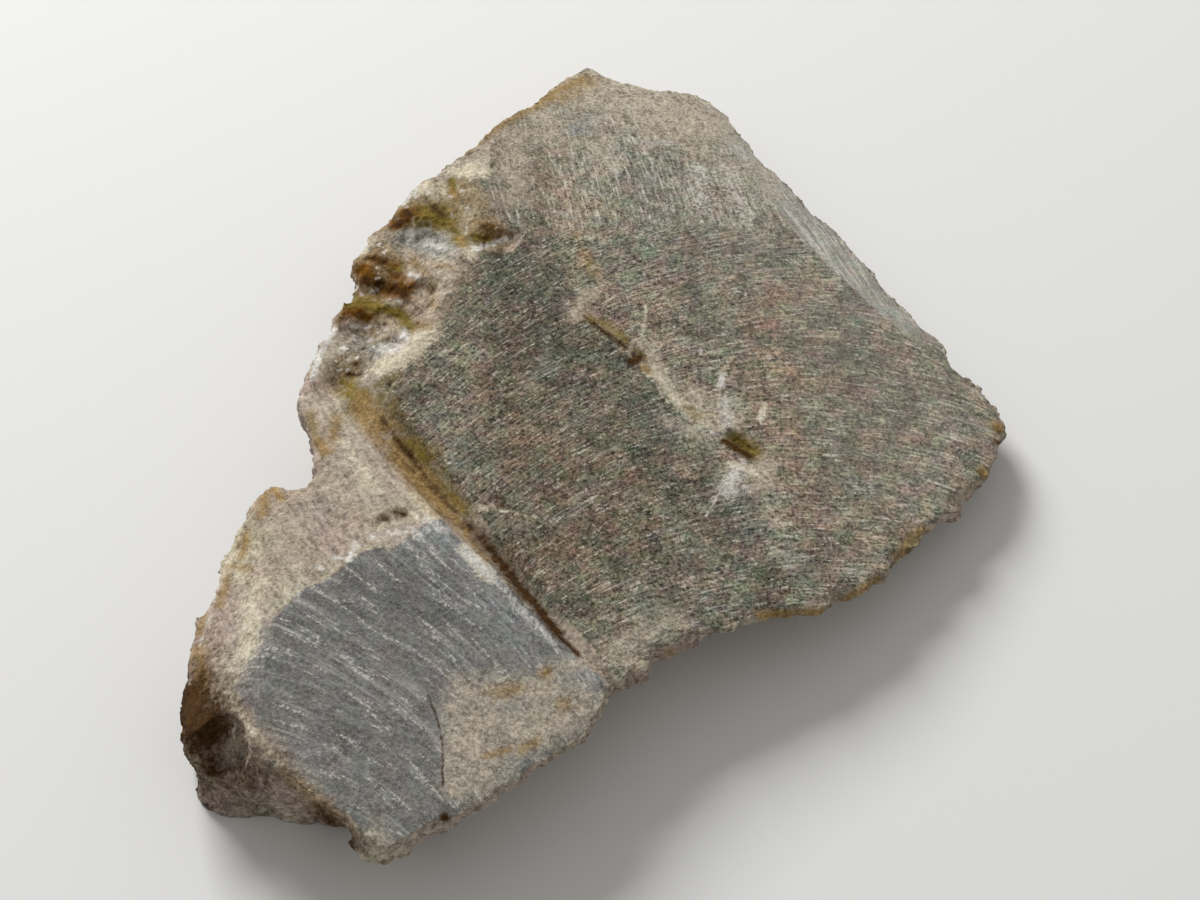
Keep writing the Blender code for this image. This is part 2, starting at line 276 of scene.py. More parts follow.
def distance_to_line(x, y, line):
    """Plan distance from points to the nearest part of a line through the given places."""
    nearest = np.full(len(x), np.inf)
    for start, end in zip(line, line[1:] or line[:1]):
        along = np.subtract(end, start)
        part = ((x - start[0]) * along[0] + (y - start[1]) * along[1]) / max(along @ along, 1e-9)
        part = np.clip(part, 0.0, 1.0)
        gap = np.hypot(x - start[0] - part * along[0], y - start[1] - part * along[1])
        nearest = np.minimum(nearest, gap)
    return nearest


def near_line(points, line, reach, fade):
    """How near each point is in plan to a line: 1 beside it, 0 beyond its reach."""
    away = distance_to_line(points[:, 0], points[:, 1], line)
    return np.clip((reach - away) / fade, 0.0, 1.0)


by_edge = near_line(points, SCALLOPED_EDGE, SCALLOP_REACH, SCALLOP_FADE)
for i in np.nonzero(by_edge > 0.0)[0]:
    wave = noise.noise(Vector(points[i] * (1.0, 1.0, 0.3)) / SCALLOP_SIZE)
    points[i, :2] += SCALLOP_DEPTH * by_edge[i] * wave * EDGE_OUTWARD
points[is_ground, 2] = ground_height(points[:, 0], points[:, 1], EDGE_BEVEL)[is_ground]
print("pushed:", int((by_edge > 0.0).sum()), "points")

# %% [markdown]
# ## How strongly each place is broken
#
# The rim is rough, and roughest along the shoulder, where a row of small crystals stands out
# like teeth. The neck has been worn since, and the walls of the groove and the crack are calm.
# A painted mask could tell them apart. Here lines in plan with a reach do, and one number per
# point gathers it all. The skin is relaxed first, so that the solid's triangles don't show.

# %% Set the strength of the break
GROOVE_REACH = 1.9
CRACK_LINE = ((-2.0, 8.0), (0.9, 4.4), (3.6, 0.6), (7.4, -2.0), (8.6, -2.6))
CRACK_REACH = 1.2
CUT_FADE = 0.5
TOOTHED_RIM = (
    (-16.9, -4.0), (-17.3, -6.8), (-19.0, -6.6), (-20.3, -9.0), (-21.8, -12.6), (-22.7, -15.5),
)
TOOTH_REACH = 1.3
TOOTH_FADE = 0.6
TOOTH_GAIN = 1.8
WORN_SHARE = 0.30
GROOVE_CALM = 0.85
CRACK_CALM = 0.75

relaxed = blend_over_neighbours(points, edges, 2)
soft_broken = blend_over_neighbours(broken, edges, 2)
points += (relaxed - points) * (broken * soft_broken)[:, None]
set_points(slab, points)
normals = get_normals(slab)
on_neck = np.clip((normals[:, 2] - 0.45) / 0.3, 0.0, 1.0) * left_of_groove(points[:, 0], points[:, 1])
in_groove = near_line(points, GROOVE_LINE[:-2], GROOVE_REACH, CUT_FADE)
in_crack = near_line(points, CRACK_LINE, CRACK_REACH, CUT_FADE)
teeth = near_line(points, TOOTHED_RIM, TOOTH_REACH, TOOTH_FADE)
facing_out = np.clip(1.3 - np.abs(normals[:, 2]), 0.6, 1.3)
strength = soft_broken * (1.0 - (1.0 - WORN_SHARE) * on_neck) * facing_out
strength *= (1.0 - GROOVE_CALM * in_groove) * (1.0 - CRACK_CALM * in_crack)
strength *= 1.0 + TOOTH_GAIN * teeth
print("mean strength:", round(float(strength.mean()), 3), " most:", round(float(strength.max()), 2))

# %% [markdown]
# ## Break the skin, large steps first
#
# Broken herderite is hackly: small flat faces that tilt every way, with steps between them.
# One could sculpt them, but a cell pattern gives the same thing everywhere at once. Each
# Voronoi cell gets its own height and tilt, and two sizes of cell make blocks and chips. Where
# two cells push against each other, a point can end up far from its neighbours as a needle, so
# those points are drawn back.

# %% Move the broken points
BLOCKS = ((2.3, 0.09), (0.95, 0.085))
FRACTURE_TILT = 1.6
SKIN_SEED = 31.0
NEEDLE = 0.16


def fracture(place, size, seed):
    """Relief of a break at one place: tilted flat cells with steps between, about -1 to 1."""
    scaled = place / size + Vector((seed, 0.0, 0.0))
    cell = noise.voronoi(scaled)[1][0]
    tilt = noise.cell_vector(cell * 13.7) - Vector((0.5, 0.5, 0.5))
    return noise.cell(cell * 5.3) - 0.5 + FRACTURE_TILT * tilt.dot(scaled - cell)


def break_points(points, normals, strength, sizes):
    """Move points along their normals by the relief of some sizes of cell."""
    relief = np.zeros(len(points))
    for i in np.nonzero(strength > 0.02)[0]:
        place = Vector(points[i])
        relief[i] = sum(high * fracture(place, size, SKIN_SEED + size) for size, high in sizes)
    return points + normals * (relief * strength)[:, None]


points = break_points(points, normals, strength, BLOCKS)
for _ in range(4):
    relaxed = blend_over_neighbours(points, edges, 2)
    needles = (np.linalg.norm(relaxed - points, axis=1) > NEEDLE) & (broken > 0.5)
    points[needles] = relaxed[needles]
print("needles drawn back in the last round:", int(needles.sum()))

# %% [markdown]
# ## Worn crests
#
# Two crests between the pits, and one spot on the shoulder's rim, are rounded like worn glass.
# Averaging their points with their neighbours' many times rounds them. The finer grains that
# come later are held back there too.

# %% Round the crests and keep the marks
SMOOTH_PLACES = ((-16.3, 8.5, 1.5), (-11.3, 16.9, 1.5), (-21.9, -12.4, 1.0))
SMOOTH_FADE = 0.6
SMOOTH_ROUNDS = 14
SMOOTH_CALM = 0.6

smooth = np.zeros(len(points))
for x, y, reach in SMOOTH_PLACES:
    smooth = np.maximum(smooth, near_line(points, ((x, y),), reach, SMOOTH_FADE))
for _ in range(SMOOTH_ROUNDS):
    points += (blend_over_neighbours(points, edges, 1) - points) * smooth[:, None]
strength *= 1.0 - SMOOTH_CALM * smooth
points[:, 2] = np.maximum(points[:, 2], 0.0)
set_points(slab, points)
keep_marks(slab, "broken_skin", broken)
keep_marks(slab, "strength", strength)
keep_marks(slab, "base", is_base.astype(float))
print("rounded:", int((smooth > 0.5).sum()), "points")

# %% [markdown]
# ## A finer mesh where the stone is seen broken
#
# The pits and the worn neck lie on top and are looked at closely, so their faces are split
# once more. A finer remesh would do that too, but most of its triangles would go to the flat
# faces. The base rests on the table and is one plane, so its many squares are dissolved. The
# edges are gathered once each and in the mesh's own order, so that every run gives the same mesh.

# %% Split the broken top, dissolve the base
SHOWN_SLOPE = 0.25
SHOWN_HEIGHT = 2.0
FLAT_ANGLE = math.radians(0.5)

bm = bmesh.new()
bm.from_mesh(slab.data)
bm.normal_update()
broken_layer = bm.verts.layers.float["broken_skin"]
base_layer = bm.verts.layers.float["base"]


def is_shown_break(face):
    """Whether a face is broken and lies on the top."""
    is_broken = max(corner[broken_layer] for corner in face.verts) > 0.5
    is_high = face.calc_center_median().z > SHOWN_HEIGHT * MM
    return is_broken and is_high and face.normal.z > SHOWN_SLOPE


shown = dict.fromkeys(edge for face in bm.faces if is_shown_break(face) for edge in face.edges)
bmesh.ops.subdivide_edges(bm, edges=list(shown), cuts=1, use_grid_fill=True)
bm.normal_update()
flat = [vertex for vertex in bm.verts if vertex[base_layer] > 0.99 and vertex.co.z < 1e-6]
inner = dict.fromkeys(edge for vertex in flat for edge in vertex.link_edges)
bmesh.ops.dissolve_limit(bm, angle_limit=FLAT_ANGLE, verts=flat, edges=list(inner))
bmesh.ops.triangulate(bm, faces=[face for face in bm.faces if len(face.verts) > 4])
bm.to_mesh(slab.data)
bm.free()
print("refined:", len(slab.data.vertices), "points")

# %% [markdown]
# ## Grains, and chips along the edges
#
# The finer mesh can carry the grains of the break. Grinding also breaks crumbs out along the
# edge of a face, so its outline is nibbled. The softened broken mark reaches a little way on to
# each face, and where a coarse noise says so, the points under it sink. Along the groove and the
# crack they sink less.

# %% Add the grains and sink the chips
GRAINS = ((0.52, 0.090), (0.26, 0.040))
CHIP_DEPTH = 0.22
CALM_CHIP_DEPTH = 0.066
CHIP_SIZE = 0.55

points = get_points(slab)
normals = get_normals(slab)
edges = get_edges(slab)
broken = read_marks(slab, "broken_skin")
points = break_points(points, normals, read_marks(slab, "strength"), GRAINS)

calm = distance_to_line(points[:, 0], points[:, 1], GROOVE_LINE[:-2]) < GROOVE_REACH
calm |= distance_to_line(points[:, 0], points[:, 1], CRACK_LINE) < CRACK_REACH
chip_depth = np.where(calm, CALM_CHIP_DEPTH, CHIP_DEPTH)
near_edge = blend_over_neighbours(broken, edges, 8) * (broken < 0.5) * (normals[:, 2] > 0.5)
for i in np.nonzero(near_edge > 0.05)[0]:
    bite = max(0.0, noise.noise(Vector(points[i]) / CHIP_SIZE + Vector((7.0, 3.0, 1.0))) + 0.12)
    points[i, 2] -= chip_depth[i] * min(1.0, 3.0 * bite) * min(1.0, 2.2 * near_edge[i])
points[:, 2] = np.maximum(points[:, 2], 0.0)
set_points(slab, points)
print("edge points:", int((near_edge > 0.05).sum()))

# %% [markdown]
# ## Where the colours lie
#
# Iron water has crept in along the cracks and the rim, and other places show clear crystal,
# crushed stone or a darker body. A few strokes paint shade in the hollows and highlights on the
# rims instead. Painting a picture for them would tie the look to one size.
# Each colour is noted as a few strokes in plan instead: a half width, a strength, and the points
# of a line. A point's mark is the strength on the line, half of it at the stroke's edge, and
# falls on evenly, so that the material can make the edge ragged.
#
# The strokes were drawn as the stone looks from one place on the near side. A point down in a
# pit is therefore drawn where the line of sight to it meets the skin above it.

# %% Strokes, and where each point is drawn
DRAWN_FROM = (-0.73, -85.2, 110.8)
SIGHT_ROUNDS = 5


def mark_strokes(x, y, strokes):
    """Each point's mark from a list of strokes, 0 to 1."""
    mark = np.zeros(len(x))
    for half_width, strength, *line in strokes:
        fall = np.clip(1.0 - 0.5 * distance_to_line(x, y, line) / half_width, 0.0, 1.0)
        mark = np.maximum(mark, strength * fall)
    return mark


def note_strokes(thing, x, y, drawing):
    """Keep a mark on the mesh for every colour in a drawing."""
    for name, strokes in drawing.items():
        marks = mark_strokes(x, y, strokes)
        keep_marks(thing, name, marks)
        print(f"{name}: {np.mean(marks > 0.5):.1%} of the points")


def drawn_place(points):
    """Where each point is in the drawing, along the line of sight to it."""
    x, y = points[:, 0], points[:, 1]
    for _ in range(SIGHT_ROUNDS):
        right = lowest((BROAD_FACE, FAR_FACE, EDGE_BEVEL, PIT_BREAK), x, y)
        left = lowest((SMALL_FACE, SHOULDER_BREAK, NECK_BREAK), x, y)
        skin = np.where(left_of_groove(x, y), left, right)
        nearer = (skin - points[:, 2]) / (DRAWN_FROM[2] - points[:, 2])
        x = points[:, 0] + nearer * (DRAWN_FROM[0] - points[:, 0])
        y = points[:, 1] + nearer * (DRAWN_FROM[1] - points[:, 1])
    return x, y


x, y = drawn_place(points)
print("farthest from its own place in plan:", round(float(np.max(points[:, 1] - y)), 2), "mm")

# %% [markdown]
# ## Clouds in the ground faces
#
# Under the scratches, the body of the ground faces is darker here, and paler or redder there,
# and on the right of the broad face it is more even. The pale stroke at the far end is partly
# a painted sheen, since a light from behind makes the far end look paler. One large noise could
# make such clouds, but not in these places. So they are strokes as well, wide and soft, and the
# material only tints with them, so that the scratches run on through.

# %% The ground faces' clouds
GROUND_CLOUDS = {
    "shade": (
        (2.3, 0.9, (-6.4, 10.6), (-3.6, 4.0)), (1.5, 0.9, (0.4, 3.0), (2.6, -2.4)),
        (1.2, 1.0, (7.2, -6.7), (7.8, -8.2)), (1.7, 0.6, (12.0, 5.6), (15.0, 4.8)),
        (0.6, 1.0, (-2.4, 23.2), (-0.9, 25.5)), (1.9, 0.85, (2.6, 20.4), (3.2, 14.5)),
        (2.2, 0.75, (7.5, 13.8), (1.0, 11.4)), (2.0, 0.7, (5.0, 11.0), (6.2, 4.6)),
        (1.6, 0.95, (11.0, -10.6), (12.6, -10.0)), (1.3, 0.7, (15.0, 7.2)),
        (2.0, 0.6, (-12.5, -15.0), (-9.3, -14.6)), (1.6, 0.55, (-1.5, -8.5), (1.5, -6.5)),
    ),
    "pale": (
        (2.6, 1.0, (0.3, -17.5), (3.5, -14.0), (6.0, -11.5)), (1.5, 0.55, (-2.5, -15.0), (0.5, -13.0)),
        (1.8, 0.65, (3.0, -9.0), (6.0, -6.0)), (1.6, 0.6, (8.5, -7.5), (9.5, -3.5)),
        (2.4, 0.62, (12.0, 13.5), (16.5, 8.0)), (1.8, 0.6, (9.0, 10.5)),
        (2.0, 0.62, (18.0, -4.5), (20.0, 1.0)), (1.5, 0.55, (15.0, -5.0)), (1.5, 0.6, (15.0, 1.0)),
        # The stroke at (0.0, 22.0) on this line is partly a painted sheen at the far end.
        (1.7, 0.9, (-9.4, 4.0), (-8.6, -5.5)), (1.2, 0.6, (0.0, 22.0)), (1.6, 0.9, (-9.8, -10.8)),
        (1.5, 0.62, (-6.8, -14.0), (-5.0, -17.2)), (1.1, 1.0, (3.2, -1.2), (5.8, -2.6)),
        (1.6, 0.7, (3.0, -11.0), (6.2, -13.4)),
    ),
    "blush": (
        (2.2, 0.7, (9.6, 2.4), (9.5, 9.0)), (1.3, 0.9, (9.5, -1.4), (10.0, -4.2)),
        (1.5, 0.6, (17.0, 7.5)), (2.5, 0.6, (-4.0, -11.0), (1.6, -6.0)), (1.3, 0.6, (1.8, -10.6)),
        (2.4, 0.7, (-6.5, 21.0), (-3.0, 16.0)), (1.2, 0.6, (-1.5, 11.0)),
        (1.0, 0.6, (-2.8, -3.6), (-2.6, -7.6)), (2.4, 0.7, (-7.5, 0.5), (-5.0, -3.5)),
    ),
    "even": (
        (5.0, 1.0, (13.0, 9.0), (18.0, 3.0)), (3.5, 0.8, (9.0, 13.0), (16.0, -3.0)),
    ),
}

note_strokes(slab, x, y, GROUND_CLOUDS)

# %% [markdown]
# ## Patches of the broken skin
#
# "worn" is where the grinding ran out over the groove's right bank, and its colour goes on
# there. The others are kinds of broken stone: tan crystal in the pits, a cool grey lens, pink
# and beige grained skin on the neck, at the far end and beside the small face.

# %% The broken skin's patches
BROKEN_PATCHES = {
    "worn": (
        (1.3, 1.0, (-12.2, 0.4), (-11.2, -2.2), (-9.4, -4.2)), (1.0, 1.0, (-10.6, 2.2), (-9.4, 4.6)),
        (0.9, 1.0, (-8.6, -6.0), (-7.2, -7.4)), (0.6, 0.9, (-6.2, -10.2), (-3.0, -14.6)),
        (1.4, 0.9, (-18.8, -17.5), (-19.2, -21.0)),
    ),
    "tan": (
        (2.3, 1.0, (-14.4, 11.4), (-13.8, 8.0)), (1.4, 1.0, (-14.6, 4.2), (-15.4, 2.4)),
        (1.3, 1.0, (-12.8, 15.2), (-10.2, 14.4)), (1.3, 0.9, (-8.2, 13.4), (-7.2, 12.4)),
        (1.1, 0.8, (-9.4, 17.2), (-8.4, 15.4)), (0.5, 0.66, (-2.3, 6.4), (-1.3, 8.4)),
        (1.1, 0.9, (-11.9, 17.2), (-10.6, 16.8)),
    ),
    "cool": (
        (0.5, 1.0, (-2.3, 23.4), (-0.9, 25.4)), (1.1, 1.0, (-12.4, 12.9), (-10.2, 11.5)),
        (1.5, 0.7, (-15.2, 4.2), (-13.8, 3.2)), (0.8, 0.55, (-5.6, -24.2), (-3.6, -22.8)),
    ),
    "pink": (
        (1.1, 1.0, (-9.7, 9.4), (-10.5, 7.4), (-11.0, 5.0)), (0.5, 0.8, (-12.5, 11.5), (-11.5, 10.8)),
        (0.6, 0.9, (-20.0, -20.6), (-18.8, -22.8), (-16.4, -25.0), (-14.4, -27.4)),
        (1.8, 0.5, (3.0, 25.5)), (0.9, 0.8, (-16.6, -6.4), (-19.4, -8.4)),
        (0.4, 0.75, (-16.6, -5.0), (-13.4, -10.2)), (0.35, 0.7, (-18.6, -9.0), (-16.4, -12.0)),
        (0.8, 0.75, (-21.4, -15.4), (-21.2, -18.0)),
    ),
    "beige": (
        (1.5, 1.0, (-7.0, -21.6), (-6.9, -24.4)), (1.4, 1.0, (-4.6, -22.0), (-2.0, -20.6)),
        (0.7, 0.9, (-8.2, -21.0), (-8.1, -25.6)), (0.9, 0.8, (-12.0, -28.6)),
        (3.4, 0.95, (-2.0, 28.0), (5.0, 28.2)), (2.4, 0.9, (3.6, 25.2), (7.5, 26.0)),
        (1.6, 0.7, (-4.6, 25.2), (-4.2, 22.4)), (1.6, 0.66, (-6.2, 22.6), (-6.0, 16.6)),
        (1.2, 0.62, (-0.9, 22.6), (-0.4, 20.6)), (1.3, 0.7, (9.4, 21.8), (10.2, 19.4)),
        (1.5, 0.55, (6.0, 22.6), (7.4, 20.8)), (1.1, 0.85, (-7.6, -20.0), (-3.5, -19.6)),
        (0.9, 0.7, (-3.2, -18.7), (-1.8, -17.9)), (0.9, 0.9, (-19.7, -17.4), (-20.6, -20.0)),
        (0.9, 0.6, (6.6, 0.8), (6.6, -0.8)), (0.55, 0.74, (-2.4, 6.4), (-1.3, 8.6)),
        (0.6, 0.68, (1.8, 4.4), (3.4, 2.0)), (0.7, 0.64, (3.2, -1.0), (5.4, -2.2)),
        (1.0, 0.85, (4.6, 0.9), (6.6, -0.6)), (0.9, 0.72, (8.6, -3.2), (8.4, -5.0)),
        (1.3, 0.62, (0.2, -17.2), (3.0, -14.9)), (0.8, 0.75, (-10.2, 10.4), (-10.5, 7.6)),
    ),
}

note_strokes(slab, x, y, BROKEN_PATCHES)

# %% [markdown]
# ## Pale crusts and painted highlights
#
# Crushed stone is pale. It lies as cream crusts along the rims of the faces and around the
# crack, and as small white crumbs in the pits, with a frost of fine scratches at the far end.
# A few white strokes are painted highlights: a spot on the worn crest between the pits and a
# thin lit edge along the left rim.

# %% The pale crusts and painted highlights
PALE_CRUSTS_AND_HIGHLIGHTS = {
    "cream": (
        (0.85, 1.0, (-13.1, 1.9), (-11.9, 2.7), (-11.1, 3.7)), (1.0, 0.78, (-11.7, 17.4), (-10.7, 17.0)),
        (0.35, 0.8, (-21.9, -22.6), (-21.4, -23.8)), (0.25, 0.75, (-20.8, -24.6), (-20.3, -25.4)),
        (0.75, 0.9, (-9.7, 18.9), (-8.3, 18.6)), (0.45, 0.8, (-8.8, 11.6), (-8.4, 10.5)),
        (0.35, 0.8, (-13.5, 7.4), (-12.7, 7.2)), (0.3, 0.8, (-11.5, 8.8)), (0.3, 0.8, (-11.7, 7.7)),
        (0.4, 0.8, (-15.2, 12.3), (-14.7, 13.4)), (0.42, 0.8, (2.4, 2.6), (3.2, 1.4), (4.0, 0.3)),
        (0.6, 0.74, (4.2, 0.1), (5.5, -1.0)), (0.4, 0.66, (4.9, -0.3), (6.0, -0.2)),
        (0.35, 0.85, (6.9, -3.7), (8.2, -4.2)), (0.2, 0.9, (8.6, -0.2), (8.9, 0.9)),
        (0.45, 0.9, (-20.7, -9.0), (-21.7, -12.4)), (0.9, 0.75, (-20.5, -11.0), (-20.3, -12.4)),
        (0.4, 1.0, (-8.0, -11.4), (-6.7, -13.0)), (0.35, 0.8, (-8.2, -8.6)),
        (0.3, 0.7, (-7.8, -8.4), (-6.7, -8.2)), (0.9, 0.5, (22.0, 3.4)), (0.7, 0.6, (1.4, -17.7)),
        (0.35, 0.9, (-11.0, -7.5), (-9.9, -9.1)), (0.8, 0.75, (-19.4, -13.6), (-19.4, -17.6)),
        (0.5, 0.58, (-15.4, -3.0), (-13.3, -7.0)), (0.6, 0.55, (-13.4, -10.0), (-10.8, -9.0)),
        (0.3, 0.7, (-19.9, -20.4), (-18.9, -22.3), (-17.4, -24.2)),
    ),
    "white": (
        (0.42, 0.8, (-13.4, 3.3), (-12.5, 3.2)), (0.3, 0.9, (-12.2, 3.8), (-12.1, 4.8)),
        (0.22, 0.85, (-15.4, 5.8), (-15.1, 5.6)), (0.24, 0.85, (-14.5, 5.3)), (0.2, 0.8, (-13.4, 5.0)),
        (0.18, 0.8, (-15.2, 4.9)), (0.17, 0.8, (-14.2, 4.2)), (0.17, 0.8, (-15.9, 3.9)),
        (0.17, 0.8, (-14.9, 2.9)), (0.18, 0.8, (-13.8, 2.6)), (0.16, 0.8, (-15.9, 2.0)),
        (0.17, 0.8, (-14.3, 1.2)), (0.2, 0.9, (-17.5, 2.0), (-17.3, 4.0), (-16.6, 6.2)),
        # The first stroke on this line is a painted highlight on the worn crest between the pits.
        (0.16, 1.0, (-12.2, 16.8)), (0.2, 0.8, (-13.0, 16.4), (-12.2, 17.6)), (0.3, 0.8, (-14.3, 8.5)),
        (0.2, 0.8, (-12.2, 9.6), (-11.6, 9.2)), (0.3, 1.0, (-12.4, 13.5), (-11.4, 13.5)),
        (0.6, 0.58, (-12.4, 13.1), (-11.6, 12.7), (-10.2, 11.5)),
        (0.22, 1.0, (-8.3, 11.2), (-7.2, 11.9), (-6.5, 12.4)), (0.2, 0.9, (6.5, 3.0), (6.3, 2.0)),
        (0.5, 0.58, (6.6, 1.0), (6.6, -0.8)), (0.22, 0.9, (7.4, -3.4)),
        (0.18, 0.8, (7.3, -5.2), (7.7, -5.4)), (0.6, 0.72, (7.0, -4.2), (6.4, -5.8)),
        (0.15, 0.8, (2.8, 3.7)), (0.14, 0.8, (1.1, 5.0)), (0.24, 0.78, (-14.0, -11.1), (-14.3, -12.2)),
        (0.16, 0.8, (-15.2, -12.0), (-14.6, -12.1)), (0.18, 0.9, (-15.9, -12.7), (-15.7, -12.9)),
        (0.35, 0.52, (-16.6, -13.7), (-16.9, -14.8)), (0.5, 0.52, (-13.2, -10.6), (-9.8, -9.8)),
        (0.35, 0.7, (-10.2, -9.4), (-9.2, -10.1)), (0.33, 1.0, (-8.0, -11.5), (-6.6, -13.0)),
        (0.25, 0.65, (-6.4, -13.2), (-3.2, -16.8)),
        # The next stroke is a painted highlight, the thin lit edge along the left rim.
        (0.14, 0.6, (-22.6, -19.0), (-22.3, -17.0), (-21.5, -12.8)),
        (0.3, 0.6, (11.0, 17.5), (14.0, 12.0)), (1.2, 0.46, (5.8, 17.2), (5.4, 20.0)),
        (0.9, 0.45, (8.4, 16.0), (7.4, 20.8)), (0.4, 0.45, (1.2, 22.6), (4.2, 22.8)),
    ),
}

note_strokes(slab, x, y, PALE_CRUSTS_AND_HIGHLIGHTS)
